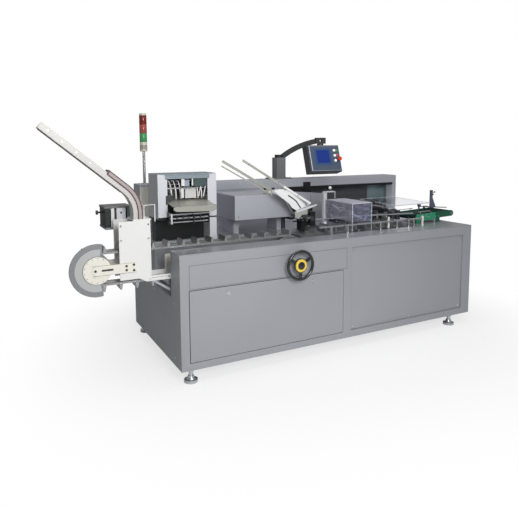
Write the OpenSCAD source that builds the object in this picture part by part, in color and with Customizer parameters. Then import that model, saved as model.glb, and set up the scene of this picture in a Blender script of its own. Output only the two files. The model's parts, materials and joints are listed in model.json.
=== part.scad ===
// Automatic cartoner: a horizontal packing machine with an inclined product chute,
// a lug chain infeed, a leaflet station, a sloping carton magazine, a rear pusher
// housing and an operator panel on a swinging arm.
// Millimetres. +X runs with the flow, +Y to the back and +Z up. The shapes are drawn
// from the cabinet's front left corner at floor level and then moved, so that the
// origin lies under the front left levelling foot.

/* [Cabinet] */
// Length of the cabinet
cabinet_len = 2900; // [2880:1:2960]
// Depth of the cabinet
cabinet_depth = 1270; // [1265:1:1300]
// Height of the deck above the floor
deck_z = 945; // [940:1:955]
// Height of the cabinet's underside above the floor
base_z = 94; // [80:1:110]
// Thickness of the deck plate
deck_t = 5; // [3:1:6]

/* [Front panels] */
// Left edge of the front door
door_x0 = 69; // [60:1:90]
// Right edge of the front door
door_x1 = 1408; // [1380:1:1430]
// Lower edge of the front door
door_z0 = 151; // [140:1:170]
// Upper edge of the front door
door_z1 = 679; // [660:1:690]
// Left edge of the recess of the right front panel
panel_x0 = 1490; // [1470:1:1510]
// Distance of the recess of the right front panel from the cabinet's right side
panel_inset = 102; // [80:1:140]
// Upper edge of both upper front panels
fascia_z1 = 860; // [840:1:880]
// Width of the seam round a panel
seam = 4; // [2:1:6]
// Depth of the recess of the right front panel
recess = 14; // [8:1:20]
// Height of the quarter-turn latches on the front door
latch_z = 628; // [600:1:640]

/* [Levelling feet] */
// Distance of the left feet from the cabinet's left side
foot_inset = 80; // [60:1:90]
// Distance of the right feet from the cabinet's right side
foot_inset_right = 225; // [180:1:240]
// Distance of the feet from the cabinet's front and back
foot_inset_y = 36; // [32:1:80]
// Radius of a foot's disc
foot_r = 50; // [40:1:54]

/* [Hand wheel] */
// Place of the hand wheel along the front
wheel_x = 955; // [900:1:1000]
// Height of the hand wheel's centre
wheel_z = 781; // [775:1:800]
// Distance of the rim's middle plane in front of the cabinet
wheel_out = 60; // [55:1:75]
// Outer radius of the hand wheel
wheel_r = 122; // [115:1:128]
// Radius of the rim's section
rim_r = 12; // [9:1:14]
// Radius of the hand wheel's shaft
shaft_r = 14; // [12:1:16]

/* [Infeed conveyor] */
// Place of the left chain wheels
infeed_x0 = -517; // [-530:1:-500]
// Place of the right chain wheels
infeed_x1 = 1018; // [1000:1:1020]
// Height of the chain wheels' axles
infeed_axle_z = 853; // [850:1:858]
// Radius of the chain's middle line round the wheels
infeed_chain_r = 112; // [108:1:114]
// Distance of the lug tips from the chain's middle line
infeed_lug = 46; // [42:1:50]
// Number of lugs on the infeed chain
infeed_lugs = 33; // [24:1:34]
// Near edge of the conveyor
infeed_y0 = 205; // [200:1:210]
// Far edge of the conveyor
infeed_y1 = 375; // [370:1:390]
// Far edge of the trough in the deck
trough_y1 = 598; // [590:1:605]
// Width of the band of the side plates
side_plate_h = 70; // [60:1:80]
// Inner radius of the end guard
guard_r0 = 90; // [86:1:94]
// Outer radius of the end guard
guard_r1 = 185; // [175:1:190]

/* [Chute] */
// Upper end of the chute's floor, along and up
chute_top = [-851, 1828];
// Lower end of the sloping floor, along and up
chute_bend = [-280, 1350];
// Height of the chute's side walls
chute_wall = 42; // [36:1:50]
// Left wall of the drop channel
drop_x0 = -255; // [-262:1:-250]
// Radius of the bend into the drop channel
bend_r = 200; // [120:1:220]
// Far side of the chute
chute_y1 = 310; // [300:1:330]
// Sheet thickness of the chute
sheet = 3; // [2:1:4]
// Left end of the retainer
retainer_x0 = -448; // [-470:1:-430]
// Height of the retainer above the chute's walls
retainer_rise = 18; // [14:1:24]

/* [Leaflet station] */
// Length of the leaflet station
station_len = 485; // [470:1:500]
// Front of the leaflet station
station_y0 = 477; // [470:1:490]
// Back of the leaflet station
station_y1 = 726; // [715:1:740]
// Top of the leaflet station
station_z1 = 1487; // [1470:1:1500]
// Underside of the leaflet station's left post
station_z0 = 1140; // [1130:1:1150]
// Width of a post
post_w = 60; // [50:1:66]

/* [Carton magazine] */
// Left end of the drive cover
cover_x0 = 659; // [650:1:670]
// Right end of the drive cover
cover_x1 = 1235; // [1200:1:1260]
// Front of the drive cover
cover_y0 = 500; // [498:1:510]
// From the drive cover's back to the cabinet's back
cover_back = 384; // [370:1:400]
// Underside of the drive cover
cover_z0 = 1080; // [1070:1:1095]
// Top of the drive cover
cover_z1 = 1288; // [1270:1:1300]

/* [Rear hood] */
// Left end of the rear hood
hood_x0 = 15; // [10:1:40]
// Depth of the rear hood
hood_depth = 210; // [200:1:230]
// Underside of the rear hood's box
hood_z0 = 1290; // [1280:1:1300]
// Top of the rear hood
hood_z1 = 1370; // [1360:1:1380]
// Right end of the closed lower part
hood_closed_x1 = 1773; // [1750:1:1800]
// Width of the hood's end post
hood_post_w = 50; // [40:1:60]

/* [Operator panel] */
// Place of the panel's column
column_x = 1447; // [1430:1:1460]
// Height of the column's top
column_z1 = 1583; // [1570:1:1600]
// Width of the column
column_w = 100; // [90:1:112]
// From the column to the panel's own pivot, along and to the front
pivot_reach = [383, -165];
// Width of the panel's housing
panel_w = 370; // [340:1:390]
// Height of the panel's housing
panel_h = 275; // [250:1:290]
// Depth of the panel's housing
panel_d = 95; // [80:1:110]
// Angle by which the panel leans back
panel_tilt = 17; // [10:1:20]

/* [Signal tower] */
// Place of the signal tower's pole
tower_x = 84; // [60:1:110]
// Underside of the signal tower's base
tower_z0 = 1656; // [1620:1:1680]
// Radius of a lamp
lamp_r = 32; // [28:1:36]
// Height of a lamp
lamp_h = 76; // [66:1:84]

/* [Carton transport] */
// Left chain wheels of the carton chain
carton_x0 = 1290; // [1280:1:1310]
// Distance of the right chain wheels from the cabinet's right side
carton_inset = 580; // [576:1:620]
// Height of the axles of the carton chain
carton_axle_z = 885; // [880:1:890]
// Radius of the carton chain's middle line round its wheels
carton_chain_r = 50; // [45:1:55]
// Length of a lug of the carton chain
carton_lug = 55; // [45:1:60]
// Number of lugs on the carton chain
carton_lugs = 22; // [16:1:26]

/* [Discharge] */
// Distance of the discharge belt's left end from the cabinet's right side
belt_inset = 410; // [400:1:425]
// Distance by which the discharge belt passes the cabinet's right side
belt_past = 90; // [70:1:130]
// Height of the belt's left roller
belt_z0 = 1004; // [1000:1:1010]
// Height of the belt's right roller
belt_z1 = 1022; // [1016:1:1030]
// Near side of the discharge unit
belt_y0 = 300; // [290:1:310]
// Far side of the discharge unit
belt_y1 = 600; // [590:1:610]

/* [Hidden] */
$fn = 48;

over = 10;
gap = 0.3;
running = 0.05;
door_t = 20;
panel_t = 4;
thin = 8;
arc_steps = 12;

pocket_x1 = 1190;
trough_inset = 460;
trough_x1 = cabinet_len - trough_inset;
panel_x1 = cabinet_len - panel_inset;
hood_y0 = cabinet_depth - hood_depth;
pocket_z0 = 597;
trough_z0 = 765;

cover_y1 = cabinet_depth - cover_back;
foot_xs = [foot_inset, cabinet_len - foot_inset_right];
foot_ys = [foot_inset_y, cabinet_depth - foot_inset_y];

function unit(v) = v / norm(v);

// Arc points that round the corner b between the lines to a and to c
function fillet(a, b, c, r, n) =
    let (u = unit(a - b), w = unit(c - b), half = acos(u * w) / 2,
         centre = b + unit(u + w) * r / sin(half), reach = r / tan(half),
         p = b + u * reach - centre, q = b + w * reach - centre,
         a0 = atan2(p.y, p.x), turn = (atan2(q.y, q.x) - a0 + 540) % 360 - 180)
    [for (i = [0 : n]) centre + r * [cos(a0 + turn * i / n), sin(a0 + turn * i / n)]];

// The same path moved sideways by t, to the left of its direction
function beside(path, t) =
    let (last = len(path) - 1)
    [for (i = [0 : last])
        let (d = unit(path[min(i + 1, last)] - path[max(i - 1, 0)]))
        path[i] + t * [-d.y, d.x]];

function reversed(path) = [for (i = [len(path) - 1 : -1 : 0]) path[i]];

function arc(centre, r, a0, a1, n) =
    [for (i = [0 : n]) centre + r * [cos(a0 + (a1 - a0) * i / n), sin(a0 + (a1 - a0) * i / n)]];

// Place and outward angle at the distance s along a chain loop: top run to the right,
// round the right wheel, lower run to the left, round the left wheel
function loop_len(x0, x1, r) = 2 * (x1 - x0) + 2 * PI * r;
function loop_at(x0, x1, z, r, s) =
    let (run = x1 - x0, turn = PI * r)
    s < run ? [x0 + s, z + r, 90]
    : s < run + turn ? let (a = 90 - 180 * (s - run) / turn) [x1 + r * cos(a), z + r * sin(a), a]
    : s < 2 * run + turn ? [x1 - (s - run - turn), z - r, -90]
    : let (a = 270 - 180 * (s - 2 * run - turn) / turn) [x0 + r * cos(a), z + r * sin(a), a];

// Moves the origin from the cabinet's corner to the front left foot
module at_foot() translate([-foot_inset, -foot_inset_y, 0]) children();

// Box from its low corner to its high corner
module block(low, high) translate(low) cube(high - low);

// Outline in X and Z, carried from y0 to y1
module across(y0, y1) translate([0, y1, 0]) rotate([90, 0, 0]) linear_extrude(y1 - y0) children();

module rod_y(x, z, y0, y1, r) translate([x, y0, z]) rotate([-90, 0, 0]) cylinder(h = y1 - y0, r = r);

module rod_z(x, y, z0, z1, r) translate([x, y, z0]) cylinder(h = z1 - z0, r = r);

// Sheet or bar along a path, t thick to the left of the path's direction
module strip(path, t) polygon(concat(path, reversed(beside(path, t))));

// Twice the same piece, on the near side and mirrored on the far side
module both_sides(y0, y1)
    for (side = [0, 1]) translate([0, side * (y0 + y1), 0]) mirror([0, side, 0]) children();

module stadium(x0, x1, z, r) {
    translate([x0, z - r]) square([x1 - x0, 2 * r]);
    for (x = [x0, x1]) translate([x, z]) circle(r);
}

// Chain loop with its strands, and one cross lug at every pitch
module lug_chain(x0, x1, z, r, strands, count, lug, y0, y1) {
    for (y = strands)
        across(y - strand_w / 2, y + strand_w / 2) difference() {
            stadium(x0, x1, z, r + band_t / 2);
            stadium(x0, x1, z, r - band_t / 2);
        }
    pitch = loop_len(x0, x1, r) / count;
    for (i = [0 : count - 1]) {
        at = loop_at(x0, x1, z, r, (i + 1 / 2) * pitch);
        across(y0, y1) translate([at.x, at.y]) rotate(at.z)
            polygon([[band_t / 2 - over / 4, -lug_root / 2], [lug, -lug_tip / 2],
                     [lug, lug_tip / 2], [band_t / 2 - over / 4, lug_root / 2]]);
    }
}

// Cabinet and front

module cabinet() at_foot() color([0.63, 0.63, 0.65]) difference() {
    block([0, 0, base_z], [cabinet_len, cabinet_depth, deck_z - deck_t]);
    block([-over, infeed_y0, pocket_z0], [pocket_x1, trough_y1, deck_z]);
    block([pocket_x1 - over, infeed_y0, trough_z0], [trough_x1, trough_y1, deck_z]);
    block([door_x0 - seam, -over, door_z0 - seam], [door_x1 + seam, door_t, door_z1 + seam]);
    block([panel_x0, -over, door_z0], [panel_x1, recess + panel_t, fascia_z1]);
}

module deck_plate() at_foot() color([0.66, 0.66, 0.68]) difference() {
    block([0, 0, deck_z - deck_t], [cabinet_len, cabinet_depth, deck_z]);
    block([-over, infeed_y0, deck_z - over], [trough_x1, trough_y1, deck_z + over]);
}

module front_door() at_foot() color([0.62, 0.62, 0.64])
    block([door_x0, 0, door_z0], [door_x1, door_t, door_z1]);

module right_front_panel() at_foot() color([0.6, 0.6, 0.62])
    block([panel_x0 + seam, recess, door_z0 + seam],
          [panel_x1 - seam, recess + panel_t, fascia_z1 - seam]);

latch_xs = [366, 1108];
latch_r = 15;
latch_out = 6;
latch_grip = 8;
module door_latches() at_foot() color([0.8, 0.8, 0.82])
    for (x = latch_xs) {
        rod_y(x, latch_z, -latch_out, 0, latch_r);
        block([x - latch_grip / 2, -2 * latch_out, latch_z - latch_r],
              [x + latch_grip / 2, -latch_out / 2, latch_z + latch_r]);
    }

foot_disc_h = 12;
foot_bell_h = 38;
foot_neck_r = 22;
stem_r = 16;
nut_r = 26;
nut_h = 14;
module levelling_feet() at_foot() color([0.75, 0.75, 0.77])
    for (x = foot_xs, y = foot_ys) translate([x, y, 0]) {
        rotate_extrude() polygon(concat([[0, 0], [foot_r, 0]],
            arc([foot_r, foot_disc_h + foot_bell_h], foot_r - foot_neck_r, 270, 180, arc_steps),
            [[0, foot_disc_h + foot_bell_h]]));
        cylinder(h = base_z, r = stem_r);
        translate([0, 0, base_z - nut_h]) cylinder(h = nut_h, r = nut_r, $fn = 6);
    }

// Hand wheel

bearing_r = 34;
bearing_out = 30;
module wheel_bearing() at_foot() color([0.7, 0.7, 0.72]) difference() {
    rod_y(wheel_x, wheel_z, -bearing_out, 0, bearing_r);
    rod_y(wheel_x, wheel_z, -bearing_out - over, over, shaft_r + running);
}

hub_t = 16;
module wheel_shaft() at_foot() color([0.8, 0.8, 0.82])
    rod_y(wheel_x, wheel_z, -wheel_out - hub_t / 2, -gap, shaft_r);

dial_r = 56;
spoke_w = 26;
spoke_t = 8;
spokes = 3;
module hand_wheel() at_foot() color([0.08, 0.08, 0.08])
    translate([wheel_x, -wheel_out, wheel_z]) rotate([-90, 0, 0]) {
        rotate_extrude() translate([wheel_r - rim_r, 0]) circle(rim_r);
        difference() {
            union() {
                translate([0, 0, -hub_t / 2]) cylinder(h = hub_t, r = dial_r);
                for (i = [0 : spokes - 1]) rotate(90 + i * 360 / spokes)
                    translate([0, -spoke_w / 2, -spoke_t / 2])
                        cube([wheel_r - rim_r, spoke_w, spoke_t]);
            }
            translate([0, 0, -hub_t]) cylinder(h = 2 * hub_t, r = shaft_r);
        }
    }

dial_t = 6;
cap_r = 32;
cap_t = 10;
module wheel_dial() at_foot() color([0.9, 0.72, 0.1]) {
    front = -wheel_out - hub_t / 2;
    rod_y(wheel_x, wheel_z, front - dial_t, front, dial_r - dial_t);
    rod_y(wheel_x, wheel_z, front - cap_t, front, cap_r);
}

// Rear hood

module rear_hood() at_foot() color([0.6, 0.6, 0.63])
    block([hood_x0, hood_y0, hood_z0], [cabinet_len, cabinet_depth, hood_z1]);

module pusher_housing() at_foot() color([0.6, 0.6, 0.63])
    block([hood_x0, hood_y0 + thin, deck_z], [hood_closed_x1, cabinet_depth - thin, hood_z0]);

module hood_back_panel() at_foot() color([0.58, 0.58, 0.6])
    block([hood_x0, cabinet_depth - thin, deck_z], [cabinet_len, cabinet_depth, hood_z0]);

module hood_end_post() at_foot() color([0.6, 0.6, 0.63]) {
    block([cabinet_len - hood_post_w, hood_y0, deck_z], [cabinet_len, hood_y0 + hood_post_w, hood_z0]);
    block([cabinet_len - thin, hood_y0, deck_z], [cabinet_len, cabinet_depth - thin, hood_z0]);
}

// Operator panel. The arm swings on the column's pin, and the housing on the arm's pin

column_back = 120;
column_y = cabinet_depth - column_back;
base_plate = [230, 150, 12];
pin_r = 20;
pin_h = 20;
module panel_column() at_foot() color([0.4, 0.4, 0.42]) {
    translate([column_x - base_plate.x / 2, column_y - base_plate.y / 2, hood_z1]) cube(base_plate);
    block([column_x - column_w / 2, column_y - column_w / 2, hood_z1],
          [column_x + column_w / 2, column_y + column_w / 2, column_z1]);
    rod_z(column_x, column_y, column_z1 - over, column_z1 + pin_h, pin_r);
}

arm_h = 50;
arm_w = 44;
arm_block = [100, 70, 60];
arm_axle_z = 1748;
collar_r = 42;
collar_h = 28;
hole_r = 11;
neck_pin_r = 12;
neck_pin_h = 16;
arm_r = 774;
arm_end_drop = 4;
arm_a0 = 136;
arm_a1 = 100;
panel_pivot = [column_x, column_y] + pivot_reach;
arm_reach = norm(pivot_reach);
arm_angle = atan2(pivot_reach.y, pivot_reach.x);
arm_end = [arm_reach - arm_block.x / 2 + over, arm_axle_z - arm_end_drop];
arm_centre = arm_end - arm_r * [cos(arm_a1), sin(arm_a1)];
module panel_arm() at_foot() color([0.35, 0.35, 0.37])
    translate([column_x, column_y, 0]) rotate(arm_angle) {
        z0 = column_z1 + gap;
        difference() {
            union() {
                rod_z(0, 0, z0, z0 + collar_h, collar_r);
                across(-arm_w / 2, arm_w / 2) intersection() {
                    strip(arc(arm_centre, arm_r - arm_h / 2, arm_a0, arm_a1, arc_steps), arm_h);
                    translate([-column_w / 2, z0]) square([arm_reach, arm_reach]);
                }
                translate([arm_reach, 0, arm_axle_z] - arm_block / 2) cube(arm_block);
            }
            rod_z(0, 0, z0 - over, column_z1 + pin_h + over / 5, pin_r + running);
            rod_y(arm_reach, arm_axle_z, -arm_block.y, arm_block.y, hole_r);
        }
        rod_z(arm_reach, 0, arm_axle_z - arm_block.z / 2 - neck_pin_h, arm_axle_z - arm_block.z / 2, neck_pin_r);
    }

panel_drop = 28;
neck_r = 32;
bezel_t = 12;
bezel_in = 8;
panel_z = arm_axle_z - arm_block.z / 2 - panel_drop;
module in_panel() at_foot() translate([panel_pivot.x, panel_pivot.y, panel_z])
    rotate([-panel_tilt, 0, 0]) translate([0, -panel_d / 2, 0]) children();

module panel_housing() {
    color([0.3, 0.3, 0.32]) in_panel() {
        block([-panel_w / 2, 0, -panel_h], [panel_w / 2, panel_d, 0]);
        block([bezel_in - panel_w / 2, -bezel_t, bezel_in - panel_h],
              [panel_w / 2 - bezel_in, 0, -bezel_in]);
    }
    color([0.3, 0.3, 0.32]) at_foot() translate([panel_pivot.x, panel_pivot.y, 0]) difference() {
        rod_z(0, 0, panel_z - panel_drop, panel_z + panel_drop - gap, neck_r);
        rod_z(0, 0, panel_z + panel_drop - neck_pin_h - over / 5, panel_z + over + panel_drop, neck_pin_r + running);
    }
}

screen_w = 135;
screen_h = 128;
screen_x0 = -75;
screen_z1 = -52;
screen_t = 3;
module panel_screen() color([0.12, 0.24, 0.6]) in_panel()
    block([screen_x0, -bezel_t - screen_t, screen_z1 - screen_h], [screen_x0 + screen_w, -bezel_t, screen_z1]);

button_x = 112;
button_zs = [-60, -112, -164];
button_r = 13;
button_out = 12;
module panel_buttons() color([0.85, 0.85, 0.85]) in_panel()
    for (z = button_zs) rod_y(button_x, z, -bezel_t - button_out, -bezel_t, button_r);

stop_x = 155;
stop_z = -150;
stop_r = 20;
stop_neck_r = 12;
stop_out = 34;
stop_cap = 16;
module emergency_stop() color([0.8, 0.1, 0.1]) in_panel() {
    rod_y(stop_x, stop_z, -bezel_t - stop_out, -bezel_t, stop_neck_r);
    rod_y(stop_x, stop_z, -bezel_t - stop_out, -bezel_t - stop_out + stop_cap, stop_r);
}

// Signal tower on the hood

pole_foot_r = 26;
pole_foot_t = 8;
pole_r = 12;
tower_base_h = 84;
lamps = 3;
tower_cap_h = 20;
module tower_pole() at_foot() color([0.8, 0.8, 0.78]) {
    rod_z(tower_x, column_y, hood_z1, hood_z1 + pole_foot_t, pole_foot_r);
    rod_z(tower_x, column_y, hood_z1, tower_z0 + over, pole_r);
    rod_z(tower_x, column_y, tower_z0, tower_z0 + tower_base_h, lamp_r);
}

module tower_lamps() at_foot() color([0.8, 0.15, 0.1])
    translate([tower_x, column_y, tower_z0 + tower_base_h]) {
        cylinder(h = lamps * lamp_h, r = lamp_r);
        translate([0, 0, lamps * lamp_h]) cylinder(h = tower_cap_h, r = lamp_r - over / 5);
    }

// Infeed conveyor. Its near and far sides are the same but for the end guard

plate_t = 8;
arm_x1 = -250;
inner_x0 = 10;
inner_x1 = 60;
slot_x0 = -490;
slot_x1 = -410;
slot_h = 14;
tie_r = 12;
tie_xs = [150, 700];
module infeed_side_plates() at_foot() color([0.88, 0.87, 0.83]) {
    both_sides(infeed_y0, infeed_y1) {
        across(infeed_y0 - plate_t, infeed_y0) difference() {
            union() {
                translate([infeed_x0, infeed_axle_z]) circle(side_plate_h / 2);
                translate([infeed_x0, infeed_axle_z - side_plate_h / 2])
                    square([arm_x1 - infeed_x0, side_plate_h]);
            }
            translate([slot_x0, infeed_axle_z - slot_h / 2]) square([slot_x1 - slot_x0, slot_h]);
        }
        across(infeed_y0 + plate_t, infeed_y0 + 2 * plate_t)
            translate([inner_x0, infeed_axle_z - side_plate_h / 2])
                square([infeed_x1 + side_plate_h - inner_x0, side_plate_h]);
    }
    for (x = tie_xs)
        rod_y(x, infeed_axle_z, infeed_y0 + plate_t, infeed_y1 - plate_t, tie_r);
}

disc_r = 96;
disc_t = 7;
guard_t = 5;
guard_x1 = -480;
module infeed_end_guards() at_foot() color([0.85, 0.84, 0.8]) {
    both_sides(infeed_y0, infeed_y1)
        rod_y(infeed_x0, infeed_axle_z, infeed_y0, infeed_y0 + disc_t, disc_r);
    across(infeed_y0 + disc_t, infeed_y0 + disc_t + guard_t) difference() {
        translate([infeed_x0, infeed_axle_z]) circle(guard_r1);
        translate([infeed_x0, infeed_axle_z]) circle(guard_r0);
        translate([guard_x1, infeed_axle_z - guard_r1]) square(2 * guard_r1);
    }
}

strand_w = 18;
band_t = 14;
lug_root = 26;
lug_tip = 10;
axle_r = 20;
strand_in = 45;
slat_in = 21;
infeed_strands = [infeed_y0 + strand_in, infeed_y1 - strand_in];
module infeed_wheels() at_foot() color([0.7, 0.7, 0.72])
    for (x = [infeed_x0, infeed_x1]) {
        for (y = infeed_strands)
            rod_y(x, infeed_axle_z, y - strand_w / 2, y + strand_w / 2, infeed_chain_r - band_t / 2);
        rod_y(x, infeed_axle_z, infeed_y0 + (x < 0 ? disc_t : 2 * plate_t),
              infeed_y1 - (x < 0 ? disc_t : 2 * plate_t), axle_r);
    }

module infeed_chain() at_foot() color([0.75, 0.75, 0.77])
    lug_chain(infeed_x0, infeed_x1, infeed_axle_z, infeed_chain_r, infeed_strands,
              infeed_lugs, infeed_lug, infeed_y0 + slat_in, infeed_y1 - slat_in);

housing_x0 = -365;
housing_x1 = -140;
housing_z0 = 765;
housing_z1 = 1180;
bar_x0 = -175;
slant_x0 = -230;
bar_z0 = 737;
bar_z1 = 776;
bracket_z1 = 890;
closing_z0 = 1040;
ledge_x0 = -262;
ledge_x1 = -136;
ledge_t = 12;
drop_z = housing_z1 + ledge_t;
module infeed_housing() at_foot() color([0.88, 0.88, 0.87]) {
    both_sides(infeed_y0, infeed_y1) across(infeed_y0, infeed_y0 + plate_t)
        polygon([[housing_x0, housing_z0], [housing_x0, housing_z1], [housing_x1, housing_z1],
                 [housing_x1, bar_z1], [inner_x0, bar_z1], [inner_x0, bracket_z1],
                 [inner_x1, bracket_z1], [inner_x1, bar_z0], [bar_x0, bar_z0],
                 [slant_x0, housing_z0]]);
    block([housing_x1 - plate_t, infeed_y0, closing_z0], [housing_x1, infeed_y1, housing_z1]);
    difference() {
        block([ledge_x0, infeed_y0, housing_z1], [ledge_x1, infeed_y1, drop_z]);
        block([drop_x0, infeed_y0 + sheet, housing_z1 - over],
              [drop_x0 + chute_wall, chute_y1 - sheet, drop_z + over]);
    }
}

// Product chute: a sloping channel that bends down into a drop channel

slope = atan2(chute_top.y - chute_bend.y, chute_bend.x - chute_top.x);
function floor_z(x) = chute_top.y - (x - chute_top.x) * tan(slope);
drop_path = concat([[retainer_x0, floor_z(retainer_x0)]],
    fillet(chute_top, [drop_x0, floor_z(drop_x0)], [drop_x0, drop_z], bend_r, arc_steps),
    [[drop_x0, drop_z]]);
floor_path = concat([chute_top], drop_path);
module product_chute() at_foot() color([0.74, 0.75, 0.75]) {
    across(infeed_y0, chute_y1) strip(floor_path, -sheet);
    both_sides(infeed_y0, chute_y1)
        across(infeed_y0, infeed_y0 + sheet) strip(floor_path, chute_wall);
}

wall_line = beside(drop_path, chute_wall);
cap_line = beside(drop_path, chute_wall + retainer_rise);
module chute_retainer() at_foot() color([0.88, 0.88, 0.88]) {
    across(infeed_y0, chute_y1) strip(cap_line, sheet);
    both_sides(infeed_y0, chute_y1)
        across(infeed_y0, infeed_y0 + sheet) polygon(concat(wall_line, reversed(cap_line)));
}

feeder_x0 = -419;
feeder_x1 = -223;
feeder_y0 = 400;
feeder_y1 = 590;
feeder_z0 = 1120;
feeder_z1 = 1270;
feeder_plate_t = 14;
feeder_blocks = [[-415, -376], [-372, -348], [-332, -266], [-256, -226]];
knob_r = 16;
knob_neck_r = 7;
knob_t = 14;
knob_out = 42;
knob_z = 1222;
module feeder_unit() at_foot() color([0.7, 0.7, 0.7]) {
    block([feeder_x0, infeed_y1, feeder_z0 - feeder_plate_t], [feeder_x1, feeder_y1, feeder_z0]);
    block([feeder_x0, feeder_y0, feeder_z1 - feeder_plate_t], [feeder_x1, feeder_y1, feeder_z1]);
    for (b = feeder_blocks)
        block([b[0], feeder_y0, feeder_z0], [b[1], feeder_y1, feeder_z1 - feeder_plate_t]);
    translate([feeder_x0 - knob_out, (feeder_y0 + feeder_y1) / 2, knob_z]) rotate([0, 90, 0]) {
        cylinder(h = knob_out + over, r = knob_neck_r);
        cylinder(h = knob_t, r = knob_r);
    }
}

// Leaflet station

station_plate = 8;
station_top = 40;
base_in = 20;
module leaflet_base() at_foot() color([0.2, 0.2, 0.21]) {
    block([base_in, trough_y1 + base_in, deck_z], [station_len - base_in, station_y1, station_z0 - over]);
    block([0, station_y0, station_z0 - over], [station_len, station_y1, station_z0]);
}

module leaflet_frame() at_foot() color([0.66, 0.66, 0.68]) {
    for (x = [0, station_len - post_w])
        block([x, station_y0, station_z0], [x + post_w, station_y1, station_z1 - station_plate]);
    block([0, station_y1 - station_plate, station_z0], [station_len, station_y1, station_z1]);
    block([0, station_y0, station_z1 - station_plate], [station_len, station_y1, station_z1]);
}

tray_x0 = 75;
tray_x1 = 480;
tray_y0 = 300;
tray_low_z = 1240;
tray_high_z = 1290;
tray_t = 8;
module leaflet_tray() at_foot() color([0.55, 0.55, 0.55]) intersection() {
    tray_y1 = station_y1 - station_plate;
    step_y = station_y0 - gap;
    rotate([90, 0, 90]) linear_extrude(station_len)
        polygon([[tray_y0, tray_low_z], [tray_y1, tray_high_z],
                 [tray_y1, tray_high_z + tray_t], [tray_y0, tray_low_z + tray_t]]);
    linear_extrude(station_z1)
        polygon([[tray_x0, tray_y0], [tray_x1, tray_y0], [tray_x1, step_y],
                 [station_len - post_w, step_y], [station_len - post_w, station_y1],
                 [post_w, station_y1], [post_w, step_y], [tray_x0, step_y]]);
}

roller_r = 12;
roller_rows = 3;
roller_pitch = 30;
roller_z0 = 1165;
module leaflet_rollers() at_foot() color([0.6, 0.6, 0.6])
    for (i = [0 : roller_rows - 1])
        translate([post_w, station_y0 + roller_r + i * roller_pitch, roller_z0]) rotate([0, 90, 0])
            cylinder(h = station_len - 2 * post_w, r = roller_r);

guide_w = 14;
guide_share = [0.3, 0.42, 0.55, 0.68, 0.8];
module leaflet_guides() at_foot() color([0.9, 0.9, 0.9])
    for (s = guide_share)
        translate([post_w + s * (station_len - 2 * post_w), station_y1 - station_plate - guide_w,
                   tray_high_z + tray_t])
            cube([guide_w, guide_w, station_z1 - station_plate - tray_high_z - tray_t]);

// Carton magazine

leg_w = 50;
leg_y0 = 640;
leg_y1 = 830;
module magazine_drive_cover() at_foot() color([0.64, 0.65, 0.67]) {
    block([cover_x0, cover_y0, cover_z0], [cover_x1, cover_y1, cover_z1]);
    for (x = [cover_x0 + leg_w, cover_x1 - 2 * leg_w])
        block([x, leg_y0, deck_z], [x + leg_w, leg_y1, cover_z0]);
}

rail_w = 8;
near_rail_y = 330;
near_rail_t = 18;
near_rail = [[660, 1595], [1300, 1215]];
far_rail_y = 482;
far_rail_t = 20;
far_rail_top = [550, 1588];
far_rail_bend = [1135, 1254];
far_rail_end = [1253, 1065];
rail_bend_r = 150;
lower_rail = [[539, 1544], [1000, 1290]];
lower_rail_t = 10;
hanger_x0 = 950;
hanger_x1 = 1000;
hanger_z1 = 1350;
far_rail_path = concat([far_rail_top],
    fillet(far_rail_top, far_rail_bend, far_rail_end, rail_bend_r, arc_steps), [far_rail_end]);
module magazine_rails() at_foot() color([0.66, 0.66, 0.64]) {
    across(near_rail_y, near_rail_y + rail_w) strip(near_rail, -near_rail_t);
    across(far_rail_y, far_rail_y + rail_w) {
        strip(far_rail_path, -far_rail_t);
        strip(lower_rail, -lower_rail_t);
    }
    block([hanger_x0, far_rail_y + rail_w, cover_z1], [hanger_x1, far_rail_y + 2 * rail_w, hanger_z1]);
    block([hanger_x0, far_rail_y + rail_w, cover_z1], [hanger_x1, cover_y0 + leg_w, cover_z1 + rail_w]);
}

guide_share_from = 0.62;
guide_t = 6;
guide_mid_y = 407;
guide_from = [1010, 1325];
guide_lip = [1262, 1050];
guide_rods = [[1075, 1300], [1180, 1235], [1255, 1140]];
guide_rod_r = 6;
module magazine_guides() at_foot() color([0.92, 0.92, 0.9]) {
    edge = concat(fillet(far_rail_top, far_rail_bend, far_rail_end, rail_bend_r, arc_steps),
                  [far_rail_end]);
    for (y = [near_rail_y + rail_w, guide_mid_y, far_rail_y - guide_t])
        across(y, y + guide_t) polygon(concat([guide_from], edge, [guide_lip, near_rail[1]],
            [near_rail[0] + (near_rail[1] - near_rail[0]) * guide_share_from]));
    for (p = guide_rods) rod_y(p.x, p.y, near_rail_y + rail_w, far_rail_y, guide_rod_r);
}

// Carton transport

carton_x1 = cabinet_len - carton_inset;
strand_inset = 40;
lug_overhang = 20;
carton_strands = [belt_y0 + strand_inset, belt_y1 - strand_inset];
module carton_chain() at_foot() color([0.7, 0.7, 0.72]) {
    lug_chain(carton_x0, carton_x1, carton_axle_z, carton_chain_r, carton_strands,
              carton_lugs, carton_lug, carton_strands[0] - lug_overhang,
              carton_strands[1] + lug_overhang);
    for (x = [carton_x0, carton_x1]) {
        rod_y(x, carton_axle_z, infeed_y0, trough_y1, axle_r);
        for (y = carton_strands)
            rod_y(x, carton_axle_z, y - strand_w / 2, y + strand_w / 2, carton_chain_r - band_t / 2);
    }
}

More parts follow.
